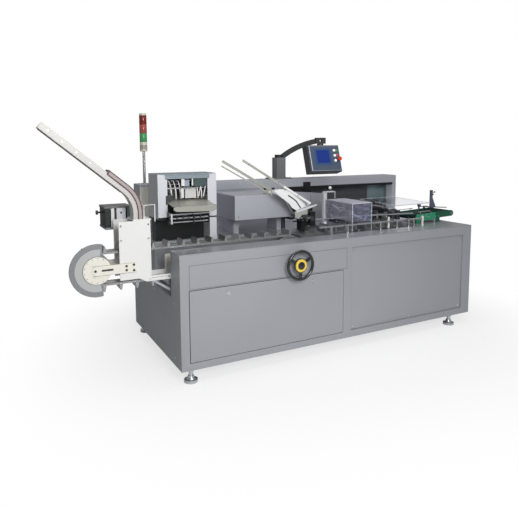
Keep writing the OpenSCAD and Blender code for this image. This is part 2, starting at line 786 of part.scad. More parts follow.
rail_z0 = 1010;
rail_h = 14;
rail_d = 20;
rail_out = 10;
rail_post_in = 110;
module carton_rails() at_foot() color([0.8, 0.8, 0.8])
    for (y = [infeed_y0 - rail_out - rail_d, trough_y1 + rail_out]) {
        block([carton_x0, y, rail_z0], [trough_x1, y + rail_d, rail_z0 + rail_h]);
        for (x = [carton_x0 + rail_post_in, trough_x1 - rail_post_in])
            block([x, y, deck_z], [x + rail_d, y + rail_d, rail_z0]);
    }

tuck_insets = [1000, 600];
tuck_y0 = 660;
tuck_y1 = 780;
tuck_z1 = 1130;
tuck_arm = [60, 240, 30];
tuck_arm_insets = [940, 720];
module tucking_unit() at_foot() color([0.2, 0.2, 0.21]) {
    block([cabinet_len - tuck_insets[0], tuck_y0, deck_z],
          [cabinet_len - tuck_insets[1], tuck_y1, tuck_z1]);
    for (inset = tuck_arm_insets)
        translate([cabinet_len - inset, tuck_y0 - tuck_arm.y, tuck_z1 - 2 * tuck_arm.z]) cube(tuck_arm);
}

// Clear guards over the transport and the discharge

box_insets = [1259, 1042];
box_y0 = 198;
box_y1 = 600;
box_z1 = 1200;
box_clear_z = 1080;
guard_sheet = 6;
knob_post = [36, 30, 318];
knob_post_y = 636;
shelf_z = 1120;
shelf = [[590, 385], [117, 428], [20, hood_y0], [500, hood_y0]];
shelf_post = [16, 16];
shelf_post_inset = 530;
module clear_guards() at_foot() color([0.8, 0.85, 0.88, 0.4]) {
    x0 = cabinet_len - box_insets[0];
    x1 = cabinet_len - box_insets[1];
    block([x0, box_y0, deck_z], [x1, box_y0 + guard_sheet, box_z1]);
    block([x0, box_y1, deck_z], [x1, box_y1 + guard_sheet, box_z1]);
    block([x0, box_y0, box_z1 - guard_sheet], [x1, box_y1 + guard_sheet, box_z1]);
    for (x = [x0, x1 - guard_sheet])
        block([x, box_y0, box_clear_z], [x + guard_sheet, box_y1 + guard_sheet, box_z1]);
    translate([x0, knob_post_y, deck_z]) cube(knob_post);
    translate([0, 0, shelf_z]) linear_extrude(guard_sheet)
        polygon([for (p = shelf) [cabinet_len - p.x, p.y]]);
    block([cabinet_len - shelf_post_inset, tuck_y0, deck_z],
          [cabinet_len - shelf_post_inset + shelf_post.x, tuck_y0 + shelf_post.y, shelf_z]);
}

// Discharge: a belt that rises a little, between green side rails

belt_r = 22;
belt_t = 4;
rail_over = 3;
green_plate_len = 305;
green_plate_z0 = 974;
green_plate_z1 = 1029;
green_foot_w = 40;
belt_x0 = cabinet_len - belt_inset + belt_r + belt_t + rail_over;
belt_x1 = cabinet_len + belt_past - belt_r - belt_t - rail_over;
belt_rise = atan2(belt_z1 - belt_z0, belt_x1 - belt_x0);
belt_reach = norm([belt_x1 - belt_x0, belt_z1 - belt_z0]);
module on_belt() translate([belt_x0, belt_z0]) rotate(belt_rise) children();

module discharge_frame() at_foot() color([0.12, 0.48, 0.35]) {
    both_sides(belt_y0, belt_y1) {
        across(belt_y0 + thin, belt_y0 + 2 * thin)
            on_belt() stadium(0, belt_reach, 0, belt_r + belt_t + rail_over);
        across(belt_y0, belt_y0 + thin) {
            x0 = cabinet_len - belt_inset;
            translate([x0, green_plate_z0])
                square([green_plate_len, green_plate_z1 - green_plate_z0]);
            for (x = [x0, x0 + green_plate_len - green_foot_w])
                translate([x, deck_z]) square([green_foot_w, green_plate_z0 - deck_z]);
        }
    }
    for (s = [0, belt_reach])
        across(belt_y0 + thin, belt_y1 - thin) on_belt() translate([s, 0]) circle(belt_r);
}

module discharge_belt() at_foot() color([0.13, 0.5, 0.38])
    across(belt_y0 + 2 * thin, belt_y1 - 2 * thin) on_belt() difference() {
        stadium(0, belt_reach, 0, belt_r + belt_t);
        stadium(0, belt_reach, 0, belt_r);
    }

bar_left = [202, 1087];
bar_right = [192, 1055];
bar_t = 8;
bar_y0 = 490;
bar_w = 20;
mast_inset = 38;
mast_w = 26;
mast_z0 = 1064;
mast_z1 = 1241;
gusset = [47, 98];
module hold_down_bar() at_foot() color([0.3, 0.3, 0.36]) {
    mast_x = cabinet_len - mast_inset;
    across(bar_y0, bar_y0 + bar_w) {
        strip([[cabinet_len - bar_left.x, bar_left.y], [cabinet_len + bar_right.x, bar_right.y]], -bar_t);
        polygon([[mast_x, mast_z0], [mast_x, mast_z1], [mast_x + mast_w, mast_z1],
                 [mast_x + mast_w, mast_z0 + gusset.y], [mast_x + mast_w + gusset.x, mast_z0],
                 [mast_x + mast_w, mast_z0 - bar_t]]);
    }
    block([mast_x, bar_y0, mast_z0], [mast_x + mast_w, belt_y1, mast_z0 + bar_t]);
    block([mast_x, belt_y1 - thin, belt_z0], [mast_x + mast_w, belt_y1, mast_z0 + bar_t]);
}

cabinet();
deck_plate();
front_door();
door_latches();
right_front_panel();
levelling_feet();
wheel_bearing();
wheel_shaft();
hand_wheel();
wheel_dial();
rear_hood();
pusher_housing();
hood_back_panel();
hood_end_post();
panel_column();
panel_arm();
panel_housing();
panel_screen();
panel_buttons();
emergency_stop();
tower_pole();
tower_lamps();
infeed_side_plates();
infeed_end_guards();
infeed_wheels();
infeed_chain();
infeed_housing();
product_chute();
chute_retainer();
feeder_unit();
leaflet_base();
leaflet_frame();
leaflet_tray();
leaflet_rollers();
leaflet_guides();
magazine_drive_cover();
magazine_rails();
magazine_guides();
carton_chain();
carton_rails();
tucking_unit();
clear_guards();
discharge_frame();
discharge_belt();
hold_down_bar();
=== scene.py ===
"""Studio picture of the automatic cartoner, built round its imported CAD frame.

Every size is in millimetres from the cabinet's front left corner at floor level,
as in the part's source, and is turned into the row frame's metres when a mesh is
made. Each sub-assembly is a class that builds and dresses its own pieces.
"""

from __future__ import annotations

import json
import logging
import math
from collections.abc import Callable, Iterable, Sequence
from dataclasses import dataclass, field
from enum import Enum
from functools import cache

import bmesh
import bpy
from mathutils import Matrix, Vector

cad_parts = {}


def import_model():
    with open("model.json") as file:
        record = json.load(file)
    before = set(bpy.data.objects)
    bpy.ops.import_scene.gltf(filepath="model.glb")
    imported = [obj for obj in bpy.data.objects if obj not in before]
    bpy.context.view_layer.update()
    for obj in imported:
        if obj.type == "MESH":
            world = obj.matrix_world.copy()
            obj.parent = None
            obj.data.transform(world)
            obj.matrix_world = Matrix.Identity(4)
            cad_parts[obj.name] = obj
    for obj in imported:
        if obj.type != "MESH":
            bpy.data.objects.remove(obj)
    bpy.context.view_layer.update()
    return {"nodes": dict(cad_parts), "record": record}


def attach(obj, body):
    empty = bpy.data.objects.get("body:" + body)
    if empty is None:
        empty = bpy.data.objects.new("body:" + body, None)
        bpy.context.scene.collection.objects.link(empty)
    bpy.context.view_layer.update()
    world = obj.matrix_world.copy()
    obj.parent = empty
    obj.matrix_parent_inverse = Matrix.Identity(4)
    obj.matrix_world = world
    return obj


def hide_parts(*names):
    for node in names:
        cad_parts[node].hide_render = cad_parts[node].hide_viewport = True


LOG = logging.getLogger("cartoner")
FOOT = Vector((80.0, 36.0, 0.0))
METRES = 0.001
SMOOTH_ANGLE = math.radians(38)
FLAT_ANGLE = math.radians(0.5)
MERGE = 0.00002
DECK_TOP = 946.0

Point = Sequence[float]
Pair = tuple[float, float]
Outline = Sequence[Pair]


class Axis(Enum):
    """Direction that an outline or a turned piece is carried along."""

    X = 0
    Y = 1
    Z = 2


class Body(Enum):
    """Rigid bodies of the machine."""

    MACHINE = "machine"
    WHEEL = "wheel"
    ARM = "arm"
    PANEL = "panel"


def linear(red: int, green: int, blue: int) -> tuple[float, float, float, float]:
    """Turns a display colour from 0 to 255 into the shader's linear values."""

    def channel(value: int) -> float:
        """Linear value of one channel."""
        share = value / 255
        return share / 12.92 if share <= 0.04045 else ((share + 0.055) / 1.055) ** 2.4

    return channel(red), channel(green), channel(blue), 1.0


def arc(centre: Pair, radius: float, start: float, end: float, steps: int = 16) -> list[Pair]:
    """Points along an arc.

    Args:
        centre: middle of the arc in its own plane.
        radius: radius in millimetres.
        start: first angle in degrees.
        end: last angle in degrees.
        steps: number of chords.

    Returns:
        The points from start to end.
    """
    angles = [math.radians(start + (end - start) * i / steps) for i in range(steps + 1)]
    return [(centre[0] + radius * math.cos(a), centre[1] + radius * math.sin(a)) for a in angles]


# Node trees


@dataclass
class Tree:
    """A node tree that is written as calls, with a link for every socket given."""

    tree: bpy.types.NodeTree

    def add(self, kind: str, inputs: dict[str | int, object] | None = None,
            **settings: object) -> bpy.types.Node:
        """Adds a node.

        Args:
            kind: the node's identifier.
            inputs: values or output sockets for the inputs, by name or number.
            settings: properties of the node.

        Returns:
            The new node.
        """
        node = self.tree.nodes.new(kind)
        for key, value in settings.items():
            setattr(node, key, value)
        for key, value in (inputs or {}).items():
            socket = node.inputs[key]
            if isinstance(value, bpy.types.NodeSocket):
                self.tree.links.new(value, socket)
            else:
                socket.default_value = value
        return node

    def math(self, operation: str, *values: object) -> bpy.types.NodeSocket:
        """Adds a math node and returns its result."""
        return self.add("ShaderNodeMath", dict(enumerate(values)), operation=operation).outputs[0]

    def vector(self, operation: str, inputs: dict[str | int, object]) -> bpy.types.NodeSocket:
        """Adds a vector node and returns its result."""
        return self.add("ShaderNodeVectorMath", inputs, operation=operation).outputs[0]

    def declare(self, way: str, **kinds: str) -> None:
        """Adds sockets without a value to the group's interface, by name and kind."""
        for name, kind in kinds.items():
            self.tree.interface.new_socket(name, in_out=way, socket_type=f"NodeSocket{kind}")

    def given(self, values: dict[str, object]) -> bpy.types.NodeOutputs:
        """Adds the group's inputs.

        Args:
            values: their starting values by name, which also tell their kinds.

        Returns:
            The sockets of the group's input node.
        """
        for name, value in values.items():
            kind = {int: "Int", float: "Float"}.get(type(value)) or ("Vector" if len(value) == 3 else "Color")
            item = self.tree.interface.new_socket(name, in_out="INPUT", socket_type=f"NodeSocket{kind}")
            item.default_value = value
        return self.add("NodeGroupInput").outputs


@cache
def grain_group() -> bpy.types.NodeTree:
    """Shared effect of rolled and brushed sheet: fine grain, soft blotches and dust.

    Returns:
        The shader group, built once.
    """
    t = Tree(bpy.data.node_groups.new("sheet grain", "ShaderNodeTree"))
    t.declare("OUTPUT", Colour="Color", Roughness="Float", Normal="Vector")
    given = t.given({"Colour": (0.5, 0.5, 0.5, 1.0), "Grain Scale": (1.0, 1.0, 1.0), "Shade": 0.05,
                     "Blotch": 0.05, "Roughness": 0.4, "Swing": 0.1, "Relief": 0.1})
    place = t.add("ShaderNodeTexCoord").outputs["Object"]
    stretched = t.vector("MULTIPLY", {0: place, 1: given["Grain Scale"]})
    fine, broad = (t.add("ShaderNodeTexNoise", {"Vector": spot, "Scale": scale, "Detail": detail,
                                                "Roughness": rough}).outputs["Fac"]
                   for spot, scale, detail, rough in ((stretched, 1.0, 4.0, 0.6), (place, 1.1, 2.0, 0.45)))
    fine_part, broad_part, swing = (t.math("MULTIPLY", t.math("SUBTRACT", noise, 0.5), given[key])
                                    for noise, key in ((fine, "Shade"), (broad, "Blotch"), (fine, "Swing")))
    factor = t.math("ADD", 1.0, t.math("ADD", fine_part, broad_part))
    colour = t.vector("SCALE", {0: given["Colour"], "Scale": factor})
    bump = t.add("ShaderNodeBump",
                 {"Strength": given["Relief"], "Distance": 0.0004, "Height": fine}).outputs["Normal"]
    t.add("NodeGroupOutput",
          {"Colour": colour, "Roughness": t.math("ADD", given["Roughness"], swing), "Normal": bump})
    return t.tree


# Finishes


@dataclass(frozen=True)
class Finish:
    """A surface finish. Its values are display colours and shader numbers."""

    name: str
    colour: tuple[int, int, int]
    roughness: float = 0.45
    metallic: float = 0.0
    specular: float = field(default=0.5, kw_only=True)

    def dress(self, t: Tree, shader: bpy.types.Node) -> None:
        """Sets what is special to this finish. A plain one has nothing more."""

    def material(self) -> bpy.types.Material:
        """Builds the material once and returns it."""
        if self.name in bpy.data.materials:
            return bpy.data.materials[self.name]
        made = bpy.data.materials.new(self.name)
        made.use_nodes = True
        t = Tree(made.node_tree)
        shader = made.node_tree.nodes["Principled BSDF"]
        shader.inputs["Base Color"].default_value = linear(*self.colour)
        shader.inputs["Roughness"].default_value = self.roughness
        shader.inputs["Metallic"].default_value = self.metallic
        shader.inputs["Specular IOR Level"].default_value = self.specular
        self.dress(t, shader)
        return made


@dataclass(frozen=True)
class Sheet(Finish):
    """Rolled, brushed or painted sheet with grain along one direction."""

    grain: tuple[float, float, float] = (60.0, 60.0, 60.0)
    shade: float = 0.06
    blotch: float = 0.1
    swing: float = 0.12
    relief: float = 0.08

    def dress(self, t: Tree, shader: bpy.types.Node) -> None:
        """Feeds the shader from the grain group."""
        group = t.add("ShaderNodeGroup", node_tree=grain_group())
        values = {"Colour": linear(*self.colour), "Grain Scale": self.grain, "Shade": self.shade,
                  "Blotch": self.blotch, "Roughness": self.roughness, "Swing": self.swing,
                  "Relief": self.relief}
        for key, value in values.items():
            group.inputs[key].default_value = value
        t.tree.links.new(group.outputs["Colour"], shader.inputs["Base Color"])
        t.tree.links.new(group.outputs["Roughness"], shader.inputs["Roughness"])
        t.tree.links.new(group.outputs["Normal"], shader.inputs["Normal"])


@dataclass(frozen=True)
class Moulded(Finish):
    """Moulded plastic with a soft coat."""

    coat: float = 0.3

    def dress(self, t: Tree, shader: bpy.types.Node) -> None:
        """Adds the coat and a faint orange peel."""
        shader.inputs["Coat Weight"].default_value = self.coat
        shader.inputs["Coat Roughness"].default_value = 0.2
        place = t.add("ShaderNodeTexCoord").outputs["Object"]
        peel = t.add("ShaderNodeTexNoise", {"Vector": place, "Scale": 700.0, "Detail": 1.0}).outputs["Fac"]
        bump = t.add("ShaderNodeBump",
                     {"Strength": 0.05, "Distance": 0.0002, "Height": peel}).outputs["Normal"]
        t.tree.links.new(bump, shader.inputs["Normal"])


@dataclass(frozen=True)
class Lit(Finish):
    """A lens or a screen that gives a little light of its own."""

    glow: float = 0.3

    def dress(self, t: Tree, shader: bpy.types.Node) -> None:
        """Adds the light and a gloss."""
        shader.inputs["Emission Color"].default_value = linear(*self.colour)
        shader.inputs["Emission Strength"].default_value = self.glow
        shader.inputs["Coat Weight"].default_value = 0.1


@dataclass(frozen=True)
class Clear(Finish):
    """Clear sheet that lets most of the light through."""

    index: float = 1.04
    clarity: float = 1.0

    def dress(self, t: Tree, shader: bpy.types.Node) -> None:
        """Makes the sheet transmit."""
        shader.inputs["Transmission Weight"].default_value = self.clarity
        shader.inputs["IOR"].default_value = self.index


# Grain of the sheets, in waves a metre along the three directions
LENGTHWISE = (8.0, 60.0, 900.0)
FREE = (60.0, 60.0, 60.0)
ENAMEL = (90.0, 90.0, 90.0)
MACHINE_PAINT = (120.0, 120.0, 120.0)
CASTING = (260.0, 260.0, 260.0)

GREY = Sheet("grey cabinet sheet", (160, 162, 168), 0.5, 0.2, LENGTHWISE, 0.05, 0.16, 0.12, 0.05)
GREY_SIDE = Sheet("grey hood sheet", (186, 189, 197), 0.4, 0.3, LENGTHWISE, 0.05, 0.14, 0.12, 0.05)
POST_SHEET = Sheet("station post sheet", (216, 217, 223), 0.45, 0.15, (300.0, 300.0, 12.0), 0.04, 0.08, 0.1,
                   0.04)
DECK = Sheet("deck steel", (176, 178, 184), 0.34, 0.6, (10.0, 500.0, 60.0), 0.08, 0.1, 0.15, 0.08)
BRIGHT = Sheet("bright turned metal", (205, 206, 210), 0.22, 0.9, (120.0, 120.0, 900.0), 0.05, 0.06, 0.1,
               0.06)
STEEL = Sheet("brushed chute steel", (200, 198, 194), 0.45, 0.2, (40.0, 700.0, 40.0), 0.08, 0.1, 0.15, 0.1)
CHAIN = Sheet("chain steel", (168, 168, 168), 0.35, 0.8, (200.0, 200.0, 200.0), 0.2, 0.15, 0.2, 0.2)
COLUMN = Sheet("dark grey casting paint", (116, 117, 119), 0.42, 0.1, CASTING, 0.08, 0.08, 0.08, 0.18)
DARK = Sheet("dark machine paint", (62, 64, 68), 0.45, 0.2, MACHINE_PAINT, 0.12, 0.15, 0.1, 0.1)
BLACK = Sheet("black oxide", (34, 35, 37), 0.38, 0.3, MACHINE_PAINT, 0.12, 0.2, 0.1, 0.1)
CREAM = Sheet("cream enamel", (238, 235, 224), 0.38, 0.0, ENAMEL, 0.03, 0.05, 0.06, 0.06)
WHITE = Sheet("white enamel", (236, 236, 234), 0.36, 0.0, ENAMEL, 0.03, 0.04, 0.06, 0.05)
GUARD_GREY = Sheet("grey guard sheet", (138, 141, 144), 0.4, 0.2, FREE, 0.05, 0.12, 0.1, 0.05)
TRAY = Sheet("tray sheet", (172, 171, 163), 0.4, 0.35, (14.0, 400.0, 60.0), 0.07, 0.12, 0.15, 0.08)
GREEN = Sheet("green side paint", (44, 148, 110), 0.4, 0.05, ENAMEL, 0.06, 0.08, 0.08, 0.08)
# Painted shade: the green side paint darkened, for the discharge's far rails and the near plate's right end
PAINTED_SHADE_GREEN = Sheet("green paint in painted shade", (22, 88, 66), 0.5, 0.0, ENAMEL, 0.06, 0.08, 0.08, 0.08)
BELT = Sheet("green belt", (13, 42, 36), 0.8, 0.0, (300.0, 300.0, 300.0), 0.12, 0.1, 0.1, 0.25, specular=0.15)
SEAM = Sheet("seam shadow", (58, 59, 62), 0.5, 0.1, FREE, 0.05, 0.05, 0.1, 0.05)
BAY_GREEN = Sheet("green grey pane", (134, 156, 160), 0.25, 0.1, FREE, 0.04, 0.1, 0.1, 0.03)
LINING = Sheet("dark bay lining", (82, 84, 88), 0.5, 0.1, FREE, 0.08, 0.12, 0.1, 0.08)
BAND_GREY = Sheet("light guard band", (186, 188, 188), 0.4, 0.1, FREE, 0.05, 0.1, 0.1, 0.05)
# Painted shade: a darker copy of the chute steel, for the chute's underside
PAINTED_SHADE_STEEL = Sheet("shaded chute steel", (92, 92, 90), 0.4, 0.5, (40.0, 700.0, 40.0), 0.08, 0.1, 0.15, 0.1)
RAIL = Sheet("magazine rail steel", (186, 186, 178), 0.35, 0.3, (500.0, 60.0, 40.0), 0.06, 0.08, 0.15, 0.08)
TEAL_GREY = Sheet("teal grey paint", (112, 134, 136), 0.45, 0.1, ENAMEL, 0.06, 0.08, 0.1, 0.08)
PALE_BLOCK = Sheet("pale blue block", (158, 168, 184), 0.45, 0.2, FREE, 0.05, 0.08, 0.1, 0.05)
DRIVE_BOX = Sheet("green grey box", (72, 88, 90), 0.45, 0.2, FREE, 0.06, 0.08, 0.1, 0.05)
ROSE = Sheet("rose grey side", (172, 160, 158), 0.45, 0.1, FREE, 0.1, 0.08, 0.1, 0.05)
BROWN = Sheet("brown grey edge", (96, 76, 76), 0.45, 0.1, FREE, 0.05, 0.08, 0.1, 0.05)
ARM_PAINT = Sheet("dark arm paint", (40, 41, 43), 0.6, 0.1, CASTING, 0.08, 0.08, 0.08, 0.1)
TOP_BEAM = Sheet("blue grey beam paint", (140, 152, 160), 0.45, 0.2, FREE, 0.05, 0.08, 0.1, 0.05)
BAR_PAINT = Sheet("blue grey bar paint", (104, 106, 128), 0.4, 0.2, MACHINE_PAINT, 0.06, 0.08, 0.1, 0.08)
# Pale edge strips of the clear box and shelf; on the operator panel's left edge this finish is a painted
# highlight
PALE_EDGE_AND_HIGHLIGHT = Moulded("pale sheet edge and painted highlight", (216, 220, 230), 0.3, 0.0, 0.3)
RUBBER = Moulded("black wheel plastic", (20, 20, 21), 0.28, 0.0, 0.6)
GOLD = Moulded("yellow ring plastic", (238, 206, 78), 0.25, 0.0, 0.4)
PANEL_SHELL = Moulded("panel shell plastic", (78, 80, 86), 0.45, 0.0, 0.2)
PANEL_RIM = Moulded("panel rim plastic", (158, 162, 168), 0.35, 0.0, 0.3)
PANEL_FOIL = Moulded("panel foil", (78, 92, 112), 0.4, 0.0, 0.1)
NYLON = Moulded("white nylon", (238, 238, 238), 0.4, 0.0, 0.2)
TOWER_CREAM = Moulded("tower base plastic", (214, 210, 194), 0.4, 0.0, 0.3)
SCREEN_EDGE = Lit("screen border", (52, 82, 124), 0.4, 0.0, 0.05)
SCREEN = Lit("screen", (12, 46, 132), 0.4, 0.0, 0.08)
# Glowing red for the lit red push button; on the emergency stop, which is no lamp, the glow is painted light
RED = Lit("red lens", (206, 52, 40), 0.25, 0.0, 0.25)
TOWER_RED = Lit("tower red lens", (160, 76, 66), 0.3, 0.0, 0.1)
DARK_RED = Lit("dark red lens", (120, 32, 30), 0.25, 0.0, 0.12)
GREEN_LENS = Lit("green lens", (66, 150, 92), 0.3, 0.0, 0.12)
WHITE_LENS = Lit("white lens", (240, 240, 240), 0.25, 0.0, 0.35)
ACRYLIC = Clear("clear acrylic", (250, 251, 254), 0.03, 0.0)
HAZY_ACRYLIC = Clear("hazy acrylic", (214, 216, 238), 0.12, 0.0, 1.06, 0.9)
ROSE_ACRYLIC = Clear("rose acrylic", (222, 208, 208), 0.3, 0.0, 1.04, 0.4)
CLOUDY_ACRYLIC = Clear("cloudy acrylic", (214, 216, 226), 0.2, 0.0, 1.06, 0.75)
PALE_ACRYLIC = Clear("pale acrylic", (214, 216, 224), 0.3, 0.0, 1.1, 0.45)


# Meshes


@dataclass
class Blank:
    """A piece's mesh in the making, in millimetres from the cabinet's corner."""

    place: Matrix = field(default_factory=lambda: Matrix.Identity(4))
    mesh: bmesh.types.BMesh = field(default_factory=bmesh.new)

    def shell(self, points: Iterable[Point], faces: Iterable[Sequence[int]]) -> Blank:
        """Adds a closed shell from its points and faces."""
        verts = [self.mesh.verts.new(self.place @ Vector(p)) for p in points]
        for face in faces:
            self.mesh.faces.new([verts[i] for i in face])
        return self

    def box(self, low: Point, high: Point) -> Blank:
        """Adds a box between two corners."""
        points = [(x, y, z) for x in (low[0], high[0]) for y in (low[1], high[1]) for z in (low[2], high[2])]
        return self.shell(points,
                          [(0, 1, 3, 2), (4, 6, 7, 5), (0, 4, 5, 1), (2, 3, 7, 6), (0, 2, 6, 4),
                           (1, 5, 7, 3)])

    def prism(self, outline: Outline, axis: Axis, start: float, end: float) -> Blank:
        """Carries an outline along an axis.

        Args:
            outline: points in the two other directions, in the order X, Y, Z.
            axis: the direction it is carried along.
            start: where it begins.
            end: where it ends.

        Returns:
            This blank.
        """
        points = []
        for level in (start, end):
            for a, b in outline:
                whole = [a, b]
                whole.insert(axis.value, level)
                points.append(whole)
        n = len(outline)
        sides = [(i, (i + 1) % n, n + (i + 1) % n, n + i) for i in range(n)]
        return self.shell(points, [tuple(range(n))[::-1], tuple(range(n, 2 * n)), *sides])

    def turned(self, profile: Outline, foot: Point, axis: Axis = Axis.Z, sides: int = 32) -> Blank:
        """Turns a profile round an axis.

        Args:
            profile: points of radius and height. A radius of zero closes an end.
            foot: where the height is zero.
            axis: the direction of the height.
            sides: number of faces round the piece.

        Returns:
            This blank.
        """
        points: list[Vector] = []
        rings: list[list[int]] = []
        for radius, height in profile:
            ring = []
            for i in range(sides if radius > 0 else 1):
                turn = math.tau * i / sides
                flat = [radius * math.cos(turn), radius * math.sin(turn)]
                flat.insert(axis.value, height)
                ring.append(len(points))
                points.append(Vector(foot) + Vector(flat))
            rings.append(ring)
        faces = []
        for one, two in zip(rings, rings[1:]):
            for i in range(sides):
                j = (i + 1) % sides
                quad = [one[i % len(one)], one[j % len(one)], two[j % len(two)], two[i % len(two)]]
                face = list(dict.fromkeys(quad))
                if len(face) > 2:
                    faces.append(face)
        for ring in (rings[0], rings[-1]):
            if len(ring) > 1:
                faces.append(ring)
        return self.shell(points, faces)

    def tube(self, path: Sequence[Point], radius: float, sides: int = 12) -> Blank:
        """Sweeps a round section along a path."""
        spots = [Vector(p) for p in path]
        points: list[Vector] = []
        side = Vector((0, 0, 1))
        for i, spot in enumerate(spots):
            along = (spots[min(i + 1, len(spots) - 1)] - spots[max(i - 1, 0)]).normalized()
            if abs(along.dot(side)) > 0.95:
                side = Vector((0, 1, 0)) if abs(along.y) < 0.9 else Vector((1, 0, 0))
            side = (side - along * side.dot(along)).normalized()
            other = along.cross(side)
            for k in range(sides):
                turn = math.tau * k / sides
                points.append(spot + radius * (side * math.cos(turn) + other * math.sin(turn)))
        faces: list[Sequence[int]] = [tuple(range(sides)), tuple(range(len(points) - sides, len(points)))]
        for i in range(len(spots) - 1):
            for k in range(sides):
                a, b = i * sides + k, i * sides + (k + 1) % sides
                faces.append((a, b, b + sides, a + sides))
        return self.shell(points, faces)

    def rod(self, start: Point, end: Point, radius: float, sides: int = 16) -> Blank:
        """Adds a round bar between two points."""
        return self.tube([start, end], radius, sides)

    def sphere(self, centre: Point, radius: float, steps: int = 10) -> Blank:
        """Adds a ball."""
        angles = [math.pi * i / steps for i in range(steps + 1)]
        profile = [(max(radius * math.sin(a), 0.0) if 0 < i < steps else 0.0, -radius * math.cos(a))
                   for i, a in enumerate(angles)]
        return self.turned(profile, centre, Axis.Z, 2 * steps)

    def piece(self, name: str, finish: Finish, slot: str, body: Body = Body.MACHINE,
              bevel: float = 0.0, replaces: Sequence[str] = ()) -> bpy.types.Object:
        """Turns the blank into a finished piece.

        Args:
            name: the piece's name.
            finish: its finish.
            slot: the material slot of the record that the finish stands for; not used.
            body: the body that it rides on.
            bevel: width of the rounded edges in millimetres, or none.
            replaces: CAD nodes that it stands for.

        Returns:
            The piece, at the origin of the row frame.
        """
        bmesh.ops.recalc_face_normals(self.mesh, faces=self.mesh.faces)
        for vert in self.mesh.verts:
            vert.co = (vert.co - FOOT) * METRES
        data = bpy.data.meshes.new(name)
        self.mesh.to_mesh(data)
        self.mesh.free()
        return settle(name, data, finish, body, bevel, replaces)


def settle(name: str, data: bpy.types.Mesh, finish: Finish, body: Body,
           bevel: float, replaces: Sequence[str]) -> bpy.types.Object:
    """Makes an object of a mesh in the row frame, and gives it edges, finish and body.

    Args:
        name: the piece's name.
        data: its mesh, in metres.
        finish: its finish.
        body: the body that it rides on.
        bevel: width of the rounded edges in millimetres, or none.
        replaces: CAD nodes that it stands for.

    Returns:
        The piece.
    """
    name = name.replace(" ", "_")
    data.shade_smooth()
    data.set_sharp_from_angle(angle=SMOOTH_ANGLE)
    data.materials.clear()
    data.materials.append(finish.material())
    made = bpy.data.objects.new(name, data)
    bpy.context.scene.collection.objects.link(made)
    if bevel > 0:
        edges = made.modifiers.new("edges", "BEVEL")
        edges.width = bevel * METRES
        edges.segments = 2
        edges.limit_method = "ANGLE"
        edges.angle_limit = SMOOTH_ANGLE
        edges.harden_normals = True
        edges.use_clamp_overlap = True
    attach(made, body.value)
    if replaces:
        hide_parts(*replaces)
    LOG.info("%s: %d faces", name, len(data.polygons))
    return made


@dataclass(frozen=True)
class Cut:
    """Plane that parts the faces of a node, and the test for its far side."""

    point: tuple[float, float, float]
    normal: tuple[float, float, float]

    def beyond(self, spot: Vector) -> bool:
        """Whether a place lies on the side that the normal points to."""
        return (spot - Vector(self.point)).dot(Vector(self.normal)) > 0


@dataclass
class Frame:
    """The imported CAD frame, whose nodes are dressed by copies with rounded edges."""

    nodes: dict[str, bpy.types.Object]
    slots: dict[str, str]

    def dressed(self, node: str, finish: Finish, body: Body = Body.MACHINE, bevel: float = 1.5) -> None:
        """Puts a merged copy of a whole node in its place, with rounded edges."""
        self.part(node, f"finished {node}", finish, None, bevel, body, True)

    def part(self, node: str, name: str, finish: Finish, where: Callable[[Vector], bool] | None,
             bevel: float = 1.0, body: Body = Body.MACHINE, stands_for: bool = False,
             cut: Cut | None = None) -> None:
        """Copies the faces of a node that lie in one region, for a node of several finishes.

        Args:
            node: the CAD node.
            name: name of the piece.
            finish: its finish.
            where: tells if a face centre, in millimetres from the cabinet's corner, belongs to
                the piece. None takes every face.
            bevel: width of the rounded edges in millimetres.
            body: the body that it rides on.
            stands_for: whether the piece replaces the node.
            cut: a plane along which the faces are parted first.
        """
        source = self.nodes[node]
        blank = bmesh.new()
        blank.from_mesh(source.data)
        blank.transform(source.matrix_world)
        bmesh.ops.remove_doubles(blank, verts=blank.verts, dist=MERGE)
        if cut:
            bmesh.ops.bisect_plane(blank, geom=[*blank.verts, *blank.edges, *blank.faces], dist=MERGE / 2,
                                   plane_co=(Vector(cut.point) - FOOT) * METRES, plane_no=Vector(cut.normal))
        if where:
            others = [f for f in blank.faces if not where(f.calc_center_median() / METRES + FOOT)]
            bmesh.ops.delete(blank, geom=others, context="FACES")
        bmesh.ops.dissolve_limit(blank, angle_limit=FLAT_ANGLE, verts=blank.verts, edges=blank.edges)
        data = bpy.data.meshes.new(name)
        blank.to_mesh(data)
        blank.free()
        settle(name, data, finish, body, bevel, [node] if stands_for else [])


# Repeats


class Facing(Enum):
    """Turn of a repeated part, whose own height points up, to the side that it faces."""

    UP = (0.0, 0.0, 0.0)
    FRONT = (math.pi / 2, 0.0, 0.0)
    LEFT = (0.0, -math.pi / 2, 0.0)


def started(name: str, values: dict[str, object]) -> tuple[Tree, bpy.types.NodeOutputs]:
    """Starts a Geometry Nodes tree that takes a mesh, a material and values.

    Args:
        name: the tree's name.
        values: starting values of its other inputs, by name.

    Returns:
        The tree and the sockets of its inputs.
    """
    t = Tree(bpy.data.node_groups.new(name, "GeometryNodeTree"))
    t.declare("INPUT", Geometry="Geometry", Material="Material")
    t.declare("OUTPUT", Geometry="Geometry")
    return t, t.given(values)


def joined(t: Tree, *parts: bpy.types.NodeSocket) -> bpy.types.NodeSocket:
    """Joins several geometries of a tree."""
    node = t.add("GeometryNodeJoinGeometry")
    for part in parts:
        t.tree.links.new(part, node.inputs[0])
    return node.outputs[0]


def ended(t: Tree, instances: bpy.types.NodeSocket, material: bpy.types.NodeSocket) -> bpy.types.NodeTree:
    """Ends a tree in plain mesh of one material."""
    real = t.add("GeometryNodeRealizeInstances", {0: instances}).outputs[0]
    t.add("NodeGroupOutput",
          {0: t.add("GeometryNodeSetMaterial", {"Geometry": real, "Material": material}).outputs[0]})
    return t.tree


